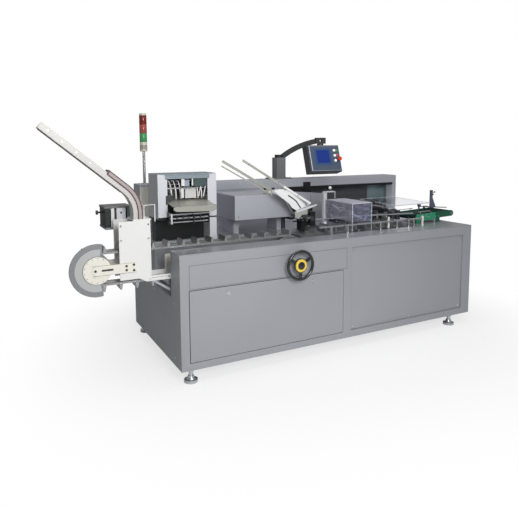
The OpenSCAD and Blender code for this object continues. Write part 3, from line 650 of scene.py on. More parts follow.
@cache
def fastener_tree() -> bpy.types.NodeTree:
    """Screws and bolts: a head on a washer at every point of the mesh.

    Returns:
        The tree, built once.
    """
    t, given = started("fasteners",
                       {"Head Radius": 0.006, "Head Height": 0.004, "Sides": 6, "Washer Radius": 0.008,
                        "Washer Height": 0.001, "Turn": (0.0, 0.0, 0.0)})
    head = t.add("GeometryNodeMeshCylinder", {"Vertices": given["Sides"], "Radius": given["Head Radius"],
                                              "Depth": given["Head Height"]}).outputs["Mesh"]
    lift = t.add("ShaderNodeCombineXYZ", {"Z": t.math("MULTIPLY", given["Head Height"], 0.5)}).outputs[0]
    head = t.add("GeometryNodeTransform", {"Geometry": head, "Translation": lift}).outputs[0]
    washer = t.add("GeometryNodeMeshCylinder", {"Vertices": 20, "Radius": given["Washer Radius"],
                                                "Depth": given["Washer Height"]}).outputs["Mesh"]
    turn = t.add("FunctionNodeEulerToRotation", {0: given["Turn"]}).outputs[0]
    spread = t.add("GeometryNodeInstanceOnPoints",
                   {"Points": given["Geometry"], "Instance": joined(t, head, washer),
                                                    "Rotation": turn}).outputs[0]
    return ended(t, spread, given["Material"])


@cache
def link_tree() -> bpy.types.NodeTree:
    """Chain side: a plate and a pin head at every pitch along the mesh's loop.

    Returns:
        The tree, built once.
    """
    t, given = started("chain links",
                       {"Pitch": 0.0254, "Plate": (0.022, 0.003, 0.02), "Pin Radius": 0.005,
                        "Pin Length": 0.006})
    curve = t.add("GeometryNodeMeshToCurve", {"Mesh": given["Geometry"]}).outputs[0]
    spots = t.add("GeometryNodeResampleCurve", {"Curve": curve, "Length": given["Pitch"]},
                  mode="LENGTH").outputs[0]
    plate = t.add("GeometryNodeMeshCube", {"Size": given["Plate"]}).outputs["Mesh"]
    pin = t.add("GeometryNodeMeshCylinder", {"Vertices": 10, "Radius": given["Pin Radius"],
                                             "Depth": given["Pin Length"]}).outputs["Mesh"]
    half = t.vector("MULTIPLY", {0: given["Plate"], 1: (0.5, 0.0, 0.0)})
    pin = t.add("GeometryNodeTransform", {"Geometry": pin, "Translation": half,
                                          "Rotation": Facing.FRONT.value}).outputs[0]
    tangent = t.add("GeometryNodeInputTangent").outputs[0]
    along = t.add("FunctionNodeAlignRotationToVector", {"Vector": tangent}, axis="X",
                  pivot_axis="Y").outputs[0]
    spread = t.add("GeometryNodeInstanceOnPoints", {"Points": spots, "Instance": joined(t, plate, pin),
                                                    "Rotation": along}).outputs[0]
    return ended(t, spread, given["Material"])


@cache
def bar_tree() -> bpy.types.NodeTree:
    """Row of equal bars, such as louvres, forks or rack teeth.

    Returns:
        The tree, built once.
    """
    t, given = started("bar rows",
                       {"Start": (0.0, 0.0, 0.0), "Step": (0.01, 0.0, 0.0), "Count": 4,
                        "Size": (0.004, 0.004, 0.02), "Turn": (0.0, 0.0, 0.0)})
    line = t.add("GeometryNodeMeshLine", {"Count": given["Count"], "Start Location": given["Start"],
                                          "Offset": given["Step"]}, mode="OFFSET").outputs[0]
    bar = t.add("GeometryNodeMeshCube", {"Size": given["Size"]}).outputs["Mesh"]
    turn = t.add("FunctionNodeEulerToRotation", {0: given["Turn"]}).outputs[0]
    spread = t.add("GeometryNodeInstanceOnPoints",
                   {"Points": line, "Instance": bar, "Rotation": turn}).outputs[0]
    return ended(t, spread, given["Material"])


@dataclass
class Repeat:
    """A piece that a Geometry Nodes tree grows from points or a loop, then turned into plain mesh."""

    name: str
    finish: Finish
    slot: str
    body: Body = Body.MACHINE

    def grow(self, tree: bpy.types.NodeTree, points: Iterable[Point], values: dict[str, object],
             loop: bool = False) -> bpy.types.Object:
        """Runs the tree.

        Args:
            tree: the Geometry Nodes tree.
            points: the mesh's points, in millimetres from the cabinet's corner.
            values: the tree's inputs by name, in metres.
            loop: whether the points are one closed loop.

        Returns:
            The finished piece.
        """
        spots = [(Vector(p) - FOOT) * METRES for p in points]
        edges = [(i, (i + 1) % len(spots)) for i in range(len(spots))] if loop else []
        data = bpy.data.meshes.new(self.name)
        data.from_pydata(spots, edges, [])
        carrier = bpy.data.objects.new(self.name, data)
        bpy.context.scene.collection.objects.link(carrier)
        steps = carrier.modifiers.new("repeat", "NODES")
        steps.node_group = tree
        keys = {item.name: item.identifier for item in tree.interface.items_tree if item.in_out == "INPUT"}
        steps[keys["Material"]] = self.finish.material()
        for key, value in values.items():
            steps[keys[key]] = value
        graph = bpy.context.evaluated_depsgraph_get()
        plain = bpy.data.meshes.new_from_object(carrier.evaluated_get(graph))
        carrier.modifiers.remove(steps)
        bpy.data.objects.remove(carrier)
        bpy.data.meshes.remove(data)
        return settle(self.name, plain, self.finish, self.body, 0.0, ())

    def fasteners(self, points: Iterable[Point], facing: Facing, head: float = 5.0, height: float = 3.0,
                  sides: int = 6) -> bpy.types.Object:
        """Puts screws on points, all facing one side.

        Args:
            points: where the heads sit.
            facing: the side that they face.
            head: radius of a head in millimetres.
            height: its height.
            sides: six for a hexagon, more for a round head.

        Returns:
            The piece.
        """
        return self.grow(fastener_tree(), points, {
            "Head Radius": head * METRES, "Head Height": height * METRES, "Sides": sides,
            "Washer Radius": 1.5 * head * METRES, "Washer Height": 0.5 * height * METRES,
            "Turn": facing.value})

    def bars(self, start: Point, step: Point, count: int, size: Point,
             turn: Point = (0.0, 0.0, 0.0)) -> bpy.types.Object:
        """Puts equal bars in a row.

        Args:
            start: middle of the first bar.
            step: from one bar to the next.
            count: number of bars.
            size: size of a bar.
            turn: turn of every bar about the three axes, in degrees.

        Returns:
            The piece.
        """
        return self.grow(bar_tree(), [start], {
            "Start": tuple((Vector(start) - FOOT) * METRES), "Step": tuple(Vector(step) * METRES),
            "Count": count,
            "Size": tuple(Vector(size) * METRES), "Turn": tuple(math.radians(a) for a in turn)})

    def links(self, loop: Sequence[Point], pitch: float, plate: Point, pin: float) -> bpy.types.Object:
        """Puts chain plates along a loop.

        Args:
            loop: the loop's points.
            pitch: from link to link.
            plate: size of a plate.
            pin: radius of a pin head.

        Returns:
            The piece.
        """
        return self.grow(link_tree(), loop, {
            "Pitch": pitch * METRES, "Plate": tuple(Vector(plate) * METRES), "Pin Radius": pin * METRES,
            "Pin Length": 2 * plate[1] * METRES}, loop=True)


def stadium(x0: float, x1: float, z: float, radius: float, y: float) -> list[Point]:
    """Loop of a chain round two wheels.

    Args:
        x0: place of the left axle.
        x1: place of the right axle.
        z: height of both.
        radius: the chain's radius round them.
        y: place across the machine.

    Returns:
        The loop's points.
    """
    ends = arc((x1, z), radius, 90, -90, 20) + arc((x0, z), radius, 270, 90, 20)
    return [(a, y, b) for a, b in ends]


# Sub-assemblies


@dataclass
class Cabinet:
    """Cabinet with its deck, front door, recessed panel and levelling feet."""

    depth: float = 1270.0
    base: float = 94.0
    deck: float = 945.0
    door: tuple[float, float, float, float] = (69.0, 151.0, 1408.0, 679.0)
    panel: tuple[float, float, float, float] = (1490.0, 151.0, 2798.0, 860.0)
    fascia: tuple[float, float, float, float] = (69.0, 690.0, 1440.0, 862.0)
    latches: tuple[Pair, ...] = ((366.0, 628.0), (1108.0, 628.0))
    line: float = 2.0

    def build(self, frame: Frame) -> None:
        """Dresses the CAD nodes and adds seams, screws and latch slots."""
        for node, finish, bevel in (("cabinet", GREY, 3.0), ("deck_plate", DECK, 1.0),
                                    ("front_door", GREY, 2.0), ("right_front_panel", GREY, 1.5),
                                    ("levelling_feet", BRIGHT, 1.5), ("door_latches", BRIGHT, 1.0)):
            frame.dressed(node, finish, bevel=bevel)
        self.seams()
        self.screws()

    def seams(self) -> None:
        """Lays the shadow lines of the fascia and the corner posts on the front."""
        x0, z0, x1, z1 = self.fascia
        seams = Blank()
        for low, high in (((x0, z0), (x1, z0 + self.line)), ((x0, z1), (x1, z1 + self.line)),
                          ((x0, z0), (x0 + self.line, z1)), ((x1, z0), (x1 + self.line, z1 + self.line))):
            seams.box((low[0], -0.25, low[1]), (high[0], 0.5, high[1]))
        seams.piece("fascia seam", SEAM, "grey_sheet")
        gap = Blank()
        x0, z0, x1, z1 = self.door
        for low, high in (((x0, z1), (x1, z1 + self.line)), ((x0 - self.line, z0), (x0, z1 + self.line))):
            gap.box((low[0], 0.3, low[1]), (high[0], 6.0, high[1]))
        gap.piece("door gap", SEAM, "grey_sheet")

    def screws(self) -> None:
        """Puts the small screws of the sheets on the left side, the panel and the deck's edge."""
        x0, z0, x1, z1 = self.panel
        inset = 24.0
        panel = [(x, 14.0, z) for x in (x0 + inset, (x0 + x1) / 2, x1 - inset)
                 for z in (z0 + inset, z1 - inset)]
        Repeat("panel screws", BRIGHT, "bright_metal").fasteners(panel, Facing.FRONT, 4.0, 2.0, 16)
        side = [(0.0, y, z) for y in (150.0, 640.0, self.depth - inset) for z in (self.base + 60, 560.0)]
        Repeat("side sheet screws", BRIGHT, "bright_metal").fasteners(side, Facing.LEFT, 6.0, 3.0)
        deck = [(x, y, self.deck) for y in (26.0, 1040.0) for x in range(60, 2900, 278)]
        Repeat("deck screws", BRIGHT, "bright_metal").fasteners(deck, Facing.UP, 4.0, 2.0, 16)
        Repeat("latch slots", BLACK, "bright_metal").bars(
            (self.latches[0][0], -12.1, self.latches[0][1]),
            (self.latches[1][0] - self.latches[0][0], 0.0, 0.0), 2,
            (2.0, 0.6, 22.0))


@dataclass
class HandWheel:
    """Hand wheel for turning the machine by hand, with its dial ring and shaft."""

    centre: tuple[float, float, float] = (955.0, -60.0, 781.0)
    dial: float = 50.0
    cap: float = 32.0
    front: float = -68.0

    def build(self, frame: Frame) -> None:
        """Dresses the wheel and makes its dial of three finishes."""
        frame.dressed("wheel_bearing", BRIGHT, bevel=1.0)
        frame.dressed("wheel_shaft", BRIGHT, Body.WHEEL, 1.0)
        frame.dressed("hand_wheel", RUBBER, Body.WHEEL, 1.5)
        x, _, z = self.centre
        ring = Blank().turned([(self.cap - 2, 0), (self.cap - 2, -6), (self.dial - 3, -6), (self.dial, -3),
                               (self.dial, 0)], (x, self.front, z), Axis.Y, 64)
        ring.piece("dial ring", GOLD, "yellow_plastic", Body.WHEEL, replaces=["wheel_dial"])
        cap = Blank().turned([(0, -10), (self.cap - 10, -10), (self.cap - 2, -8), (self.cap, -5),
                              (self.cap, 0),
                              (0, 0)], (x, self.front, z), Axis.Y, 48)
        cap.piece("dial cap", RUBBER, "black_plastic", Body.WHEEL)
        nut = Blank().turned([(0, -9.9), (12, -9.9), (14, -9.7), (14, -5), (0, -5)],
                             (x, self.front - 0.05, z), Axis.Y, 32)
        nut.piece("shaft end", BRIGHT, "bright_metal", Body.WHEEL)
        marks = [(x + 42 * math.cos(a), self.front - 6, z + 42 * math.sin(a))
                 for a in (math.tau * i / 24 for i in range(24))]
        Repeat("dial marks", RUBBER, "black_plastic", Body.WHEEL).fasteners(marks, Facing.FRONT, 1.0, 0.2, 8)


@dataclass
class Hood:
    """Rear hood over the pushers: lip, closed housing, open bay and end post."""

    left: float = 15.0
    right: float = 2900.0
    front: float = 1060.0
    back: float = 1270.0
    low: float = 1290.0
    high: float = 1370.0
    closed_to: float = 1773.0
    lip_shade_from: float = 1230.0

    def build(self, frame: Frame) -> None:
        """Dresses the hood and adds a painted shadow under its lip, a cream patch of painted light on its
        front corner, the latch block, the dark lining and the pushers.
        """
        for node, finish, bevel in (("rear_hood", GREY_SIDE, 4.0), ("pusher_housing", GREY_SIDE, 2.0),
                                    ("hood_back_panel", GREY_SIDE, 1.0), ("hood_end_post", GREY_SIDE, 2.0)):
            frame.dressed(node, finish, bevel=bevel)
        # Painted shadow: a black strip along the underside of the hood's lip
        Blank().box((self.lip_shade_from, self.front + 1, self.low - 24),
                    (self.right - 50, self.front + 7.5, self.low + 1)
                    ).piece("hood lip painted shade", BLACK, "black_paint")
        latch = Blank().box((1676, self.front - 9, 1262), (1761, self.front + 1, 1334))
        latch.box((1690, self.front - 14, 1250), (1748, self.front - 8, 1300))
        latch.piece("hood latch", BLACK, "black_paint", bevel=2)
        # Painted light: a cream plate that brightens the hood's front where the leaflet frame casts its
        # shadow
        corner = Blank().box((self.left + 1, self.front - 1.5, 960), (self.left + 75, self.front + 5.5, 1350))
        corner.piece("hood corner painted light", CREAM, "cream_paint")
        lining = Blank().box((self.closed_to + 1, self.back - 11, DECK_TOP),
                             (self.right - 9, self.back - 8.2, self.low - 1))
        lining.box((self.closed_to + 0.5, self.front + 9, DECK_TOP),
                   (self.closed_to + 2, self.back - 11, self.low - 1))
        lining.piece("bay lining", LINING, "grey_sheet")
        tint = Blank().box((2655, self.back - 14, DECK_TOP), (self.right - 9.5, self.back - 11, self.low - 1))
        tint.piece("bay end pane", BAY_GREEN, "grey_sheet")
        strip = Blank().box((self.right - 51.2, self.front + 4, DECK_TOP),
                            (self.right - 49.9, self.front + 100, self.low - 1))
        strip.piece("end post strip", POST_SHEET, "grey_sheet")
        guard = Blank().prism([(self.closed_to + 1, DECK_TOP), (1968, DECK_TOP), (1968, 1206),
                               (self.closed_to + 1, 1224)],
                              Axis.Y, self.front + 9, self.front + 12)
        guard.piece("bay end guard", GREY_SIDE, "grey_sheet", bevel=0.5)
        band = Blank().prism([(1500, 1248), (self.closed_to, 1224), (self.closed_to, 1266), (1500, 1266)],
                             Axis.Y, self.front + 7, self.front + 8)
        band.piece("hood shadow band", BLACK, "black_paint")
        rods = Blank()
        for z in (1005, 1075):
            rods.rod((self.closed_to + 2, 1180, z), (self.right - 9, 1180, z), 11)
        rods.piece("pusher rods", BRIGHT, "bright_metal")
        Repeat("pusher carriages", DARK,
               "dark_grey_paint").bars((1850, 1180, 1040), (148, 0, 0), 7, (64, 70, 130))
        top = [(x, y, self.high) for x in range(60, 2900, 310) for y in (self.front + 16, self.back - 16)]
        Repeat("hood screws", BRIGHT, "bright_metal").fasteners(top, Facing.UP, 4.0, 2.0, 16)


@dataclass
class SignalTower:
    """Signal tower with three lenses on a pole."""

    x: float = 84.0
    y: float = 1150.0
    base: float = 1656.0
    lens: float = 76.0
    radius: float = 32.0

    def build(self, frame: Frame) -> None:
        """Dresses the pole and makes the base, the lenses and the cap."""
        frame.part("tower_pole", "tower pole", BRIGHT, lambda p: p.z < self.base + 1, stands_for=True)
        r = self.radius
        Blank().turned([(0, 0), (r - 4, 0), (r, 4), (r, 80), (r - 1.5, 84), (0, 84)],
                       (self.x, self.y, self.base),
                       sides=40).piece("tower base", TOWER_CREAM, "cream_plastic")
        vents = Blank()
        for z in (1676, 1686, 1696, 1706):
            vents.turned([(0, 0), (r + 0.2, 0), (r + 0.2, 4), (0, 4)], (self.x, self.y, z), sides=40)
        vents.piece("tower vents", BLACK, "black_plastic")
        low = self.base + 84
        for i, (name, finish) in enumerate((("green lens", GREEN_LENS), ("red lens", TOWER_RED),
                                            ("dark red lens", DARK_RED))):
            foot = low + i * self.lens
            lens = Blank().turned([(0, 0), (r - 2, 0), (r, 3), (r, self.lens - 5), (r - 2, self.lens - 2),
                                   (0, self.lens - 2)], (self.x, self.y, foot), sides=40)
            lens.piece(f"tower {name}", finish, "red_plastic", replaces=["tower_lamps"] if i == 0 else ())
        rings = Blank()
        for i in range(4):
            rings.turned([(0, 0), (r - 1, 0), (r - 1, 2.2), (0, 2.2)],
                         (self.x, self.y, low - 2.1 + i * self.lens),
                         sides=40)
        rings.piece("tower rings", BLACK, "black_plastic")
        Blank().turned([(0, 0), (r - 1, 0), (r - 2, 14), (r - 8, 20), (0, 20)],
                       (self.x, self.y, low + 3 * self.lens),
                       sides=40).piece("tower cap", TOWER_CREAM, "cream_plastic")


@dataclass
class OperatorPanel:
    """Operator panel on its swinging arm and column."""

    pivot: tuple[float, float, float] = (1830.0, 985.0, 1690.0)
    tilt: float = -17.0
    depth: float = 95.0
    width: float = 370.0
    height: float = 275.0
    bezel: float = -12.0

    def place(self) -> Matrix:
        """Turn and place of the housing."""
        return (Matrix.Translation(self.pivot) @ Matrix.Rotation(math.radians(self.tilt), 4, "X")
                @ Matrix.Translation((0, -self.depth / 2, 0)))

    def build(self, frame: Frame) -> None:
        """Dresses the column, arm and housing, and adds foil, screen border, lamps and screws."""
        frame.dressed("panel_column", COLUMN, bevel=4.0)
        frame.dressed("panel_arm", ARM_PAINT, Body.ARM, 3.0)
        frame.dressed("panel_housing", PANEL_SHELL, Body.PANEL, 4.0)
        frame.dressed("panel_buttons", WHITE_LENS, Body.PANEL, 2.0)
        # Painted light: the emergency stop takes the glowing red lens finish
        frame.dressed("emergency_stop", RED, Body.PANEL, 3.0)
        self.foil()
        self.lamps()
        self.details()

    def blank(self) -> Blank:
        """Starts a piece in the housing's own place."""
        return Blank(self.place())

    def foil(self) -> None:
        """Makes the front foil, the light rim round it, a painted highlight along the face's left edge and
        the screen's border.
        """
        w, h, f = self.width / 2, self.height, self.bezel
        self.blank().box((-w + 18, f - 1, -h + 18), (w - 14, f + 0.5, -16)).piece(
            "panel foil", PANEL_FOIL, "panel_plastic", Body.PANEL)
        rim = self.blank().box((-w + 9, f - 2.5, -h + 9), (w - 9, f + 1, -h + 15))
        rim.box((-w + 9, f - 2.5, -15), (w - 9, f + 1, -9))
        rim.piece("panel rim", PANEL_RIM, "panel_plastic", Body.PANEL, 1.5)
        # Painted highlight: a pale strip along the left edge of the panel's face
        edge = self.blank().box((-w + 7, f - 3, -h + 9), (-w + 16, f + 1, -9))
        edge.piece("panel edge painted highlight", PALE_EDGE_AND_HIGHLIGHT, "panel_plastic", Body.PANEL, 1.5)
        self.blank().box((-126, f - 1.8, -208), (72, f - 0.8, -42)).piece(
            "screen border", SCREEN_EDGE, "screen_glass", Body.PANEL)
        self.blank().box((-100, f - 3.0, -184), (48, f - 1.0, -56)).piece(
            "panel screen", SCREEN, "screen_glass", Body.PANEL, 0.5, ["panel_screen"])

    def lamps(self) -> None:
        """Adds the coloured push buttons of the right column and the collars."""
        f = self.bezel
        for name, finish, z in (("green button", GREEN_LENS, -60), ("red button", RED, -108)):
            button = self.blank().turned([(0, -11), (8, -11), (10, -9), (10, 0), (0, 0)], (146, f, z),
                                         Axis.Y, 28)
            button.piece(name, finish, "white_plastic", Body.PANEL)
        collars = self.blank()
        for x, z in ((112, -60), (112, -112), (112, -164), (146, -60), (146, -108)):
            collars.turned([(0, -3), (14.5, -3), (15, -1), (15, 0), (0, 0)], (x, f - 0.8, z), Axis.Y, 28)
        collars.piece("button collars", BRIGHT, "bright_metal", Body.PANEL)

    def details(self) -> None:
        """Adds the pivot rings, the housing's screws and its back vents."""
        ring = Blank()
        x, y, _ = self.pivot
        for side in (-1, 1):
            ring.turned([(0, 0), (19, 0), (19, side * 1.5), (0, side * 1.5)], (x, y + side * 35, 1748),
                        Axis.Y, 32)
        ring.piece("pivot rings", BLACK, "black_plastic", Body.ARM)
        w, h = self.width / 2, self.height
        screws = [self.place() @ Vector((a, self.bezel - 2.6, b)) for a in (-w + 13, w - 13)
                  for b in (-13, -h + 13)]
        Repeat("panel case screws", BRIGHT, "bright_metal",
               Body.PANEL).fasteners(screws, Facing.FRONT, 2.6, 1.0, 12)
        vents = self.blank()
        for z in range(-220, -120, 14):
            vents.box((-70, self.depth - 0.5, z), (70, self.depth + 1, z + 5))
        vents.piece("panel vents", BLACK, "black_plastic", Body.PANEL)
        bolts = [(x, y, 1382) for x in (1352, 1542) for y in (1092, 1208)]
        Repeat("column bolts", BRIGHT, "bright_metal").fasteners(bolts, Facing.UP, 8.0, 6.0)


@dataclass
class InfeedConveyor:
    """Lug chain infeed that stands out at the left, with its arms, guard and housing."""

    left: float = -517.0
    right: float = 1018.0
    axle: float = 853.0
    near: float = 205.0
    chain: float = 112.0
    guard: tuple[float, float, float, float] = (100.0, 149.0, 181.0, 185.0)
    guard_arc: Pair = (79.0, 281.0)
    strands: Pair = (250.0, 330.0)

    def build(self, frame: Frame) -> None:
        """Dresses the nodes and adds guard, links, bolts and housing edges."""
        for node, finish, bevel in (("infeed_side_plates", CREAM, 1.5), ("infeed_wheels", CHAIN, 1.0),
                                    ("infeed_chain", CHAIN, 0.8), ("infeed_housing", WHITE, 1.5)):
            frame.dressed(node, finish, bevel=bevel)
        self.end_guards(frame)
        self.chain_links()
        self.arm_details()
        self.housing_details()

    def end_guards(self, frame: Frame) -> None:
        """Makes the cream discs and the grey guard with its lighter inner band."""
        frame.part("infeed_end_guards", "infeed end discs", CREAM,
                   lambda p: math.dist((p.x, p.z), (self.left, self.axle)) < 97 and not 211.9 < p.y < 217.1,
                   1.5,
                   stands_for=True)
        frame.part("infeed_end_guards", "infeed guard", GUARD_GREY,
                   lambda p: 211.9 < p.y < 217.1 and math.dist((p.x, p.z), (self.left, self.axle)) > 60, 1.0)
        inner, outer, lip, edge = self.guard
        start, end = self.guard_arc
        middle = (self.left, self.axle)
        band = Blank().prism([*arc(middle, outer, start, end, 40), *arc(middle, inner, end, start, 40)],
                             Axis.Y, 210.8, 211.9)
        band.piece("guard band", BAND_GREY, "cream_paint")
        rim = Blank().prism([*arc(middle, edge, start, end, 48), *arc(middle, lip, end, start, 48)], Axis.Y,
                            217, 226)
        rim.piece("guard lip", GUARD_GREY, "cream_paint", bevel=0.6)

    def chain_links(self) -> None:
        """Puts link plates on both sides of each strand."""
        for i, y in enumerate(self.strands):
            for j, side in enumerate((-11.5, 11.5)):
                loop = stadium(self.left, self.right, self.axle, self.chain, y + side)
                Repeat(f"infeed chain links {2 * i + j + 1}", CHAIN,
                       "chain_steel").links(loop, 25.4, (20, 3, 15), 4.5)

    def arm_details(self) -> None:
        """Adds the arm's bolts, the slot's clamp, the disc's rivets and the arm's edge lines."""
        y = self.near - 8
        bolts = [(-532, y, self.axle), (-320, y, self.axle + 14), (-320, y, self.axle - 14),
                 (-268, y, self.axle + 20), (-268, y, self.axle - 20)]
        Repeat("arm bolts", DARK, "dark_grey_paint").fasteners(bolts, Facing.FRONT, 6.0, 4.0)
        slot = Blank().box((-488, self.near - 6, self.axle - 6), (-412, self.near - 3, self.axle + 6))
        slot.piece("slot clamp", DARK, "dark_grey_paint")
        rivets = [(self.left + 86 * math.cos(a), self.near, self.axle + 86 * math.sin(a))
                  for a in (math.radians(d) for d in range(60, 320, 26))]
        Repeat("disc rivets", GUARD_GREY, "cream_paint").fasteners(rivets, Facing.FRONT, 2.2, 1.0, 12)
        edge = Blank().box((-552, y - 0.3, self.axle + 33.5), (-250, y + 0.5, self.axle + 35))
        edge.box((-552, y - 0.3, self.axle - 35), (-250, y + 0.5, self.axle - 33.5))
        edge.piece("arm edge lines", SEAM, "cream_paint")

    def housing_details(self) -> None:
        """Adds the brace between housing and cabinet, and the housing's dark slot and screws."""
        brace = Blank().prism([(-140, 737), (-112, 737), (0, 662), (0, 640)], Axis.Y, 222, 228)
        brace.piece("housing brace", GREY_SIDE, "grey_sheet", bevel=0.8)
        lines = Blank().box((-140, 204.6, 760), (10, 205.2, 762))
        lines.piece("bar line", SEAM, "white_paint")
        screws = [(x, 205, z) for x in (-350, -156)
                  for z in (1050, 1150)] + [(x, 205, 756) for x in (-150, -10)]
        Repeat("housing screws", BRIGHT, "bright_metal").fasteners(screws, Facing.FRONT)


@dataclass
class ProductChute:
    """Sloping product chute that bends down into the infeed, with its retainer."""

    near: float = 205.0
    far: float = 310.0
    top: Pair = (-851.0, 1828.0)
    slope: float = 39.93
    drop: Pair = (-255, 1192.0)
    bend: float = 200
    retainer: float = -448

    def along(self, distance: float, above: float = 0.0) -> Pair:
        """Point on the slope at a distance from its top end, above the floor."""
        a = math.radians(self.slope)
        return (self.top[0] + distance * math.cos(a) + above * math.sin(a),
                self.top[1] - distance * math.sin(a) + above * math.cos(a))

    def run(self, above: float, y: float) -> list[Point]:
        """Path from the retainer's top end round the bend to the drop.

        Args:
            above: distance from the chute's floor.
            y: place across the chute.

        Returns:
            Its points.
        """
        a = math.radians(self.slope)
        x = self.drop[0] - self.bend
        turn = x + self.bend * math.sin(a)
        z = self.top[1] - (turn - self.top[0]) * math.tan(a) - self.bend * math.cos(a)
        start = self.along((self.retainer - self.top[0]) / math.cos(a), above)
        bent = arc((x, z), self.bend + above, 90 - self.slope, 0)
        return [(px, y, pz) for px, pz in (start, *bent, (self.drop[0] + above, self.drop[1]))]

    def build(self, frame: Frame) -> None:
        """Dresses the chute and adds the underside strip in painted shade, the screws and the retainer's dark
        edges.
        """
        frame.dressed("product_chute", STEEL, bevel=0.6)
        frame.dressed("chute_retainer", ROSE_ACRYLIC, bevel=0.5)
        Blank().tube(self.run(58.5, self.near + 1), 4).piece("retainer upper edge", BROWN, "sheet_steel")
        Blank().tube(self.run(31, self.near), 4.5).piece("retainer wall edge", BROWN, "sheet_steel")
        low, high = ([(x, z) for x, _, z in self.run(above, 0)] for above in (31, 57))
        side = Blank().prism([*low, *high[::-1]], Axis.Y, self.near - 1.2, self.near - 0.2)
        side.piece("retainer side", ROSE, "sheet_steel")
        (x0, z0), (x1, z1) = low[0], high[0]
        end = Blank().prism([(x0 - 6, z0 + 5), (x1 - 2, z1 + 9), (x1 + 8, z1), (x0 + 4, z0 - 4)], Axis.Y,
                            self.near - 2, self.far)
        end.piece("retainer end", BROWN, "sheet_steel", bevel=1)
        # Painted shade: a dark strip under the chute's floor
        under = Blank().prism([self.along(12, -3.2), self.along(690, -3.2), self.along(690, -7),
                               self.along(12, -7)],
                              Axis.Y, self.near + 2, self.far - 2)
        under.piece("chute underside", PAINTED_SHADE_STEEL, "sheet_steel")
        spots = [self.along(d, 21) for d in range(60, 520, 110)]
        Repeat("chute screws", BRIGHT, "bright_metal").fasteners([(x, self.near, z) for x, z in spots],
                                                                 Facing.FRONT, 3.5, 2.0)
        ledge = Blank().box((-262, 203.5, 1181), (-136, 205, 1191))
        ledge.piece("ledge edge", WHITE, "white_paint", bevel=0.5)
        frame_bar = Blank()
        frame_bar.tube([(-182, 212, 1192), (-182, 212, 1286), (-104, 212, 1290), (-104, 212, 1168)], 4)
        frame_bar.tube([(-182, 212, 1286), (-182, 300, 1286)], 4)
        frame_bar.piece("drop frame", WHITE, "white_paint")


@dataclass
class FeederUnit:
    """Feeder beside the drop: top rail, column, light box and knob."""

    def build(self, frame: Frame) -> None:
        """Makes the unit of several finishes."""
        node = "feeder_unit"

        def between(low: float, high: float) -> Callable[[Vector], bool]:
            """Test for the faces of the middle part between two places along the machine."""
            return lambda p: low < p.x < high and 1120.5 < p.z < 1255.5

        frame.part(node, "feeder top rail", COLUMN, lambda p: p.z > 1255.5 and p.x > -420, stands_for=True)
        frame.part(node, "feeder base", GUARD_GREY, lambda p: p.z < 1120.5)
        frame.part(node, "feeder knob", BLACK, lambda p: p.x < -419.5, 1.5)
        for name, finish, low, high, bevel in (("gear block", BLACK, -419.4, -374, 1.0),
                                               ("column", WHITE, -374, -346, 1.0),
                                               ("box", POST_SHEET, -334, -264, 2.0),
                                               ("motor", TEAL_GREY, -258, -224, 2.0)):
            frame.part(node, f"feeder {name}", finish, between(low, high), bevel)
        Repeat("feeder gear teeth", DARK, "sheet_steel").bars((-395, 398, 1128), (0, 0, 12), 11, (30, 3, 4))
        Repeat("feeder box screws", DARK, "dark_grey_paint").fasteners(
            [(-300, 400, 1222), (-320, 400, 1140), (-280, 400, 1140)], Facing.FRONT, 5.0, 3.0, 16)


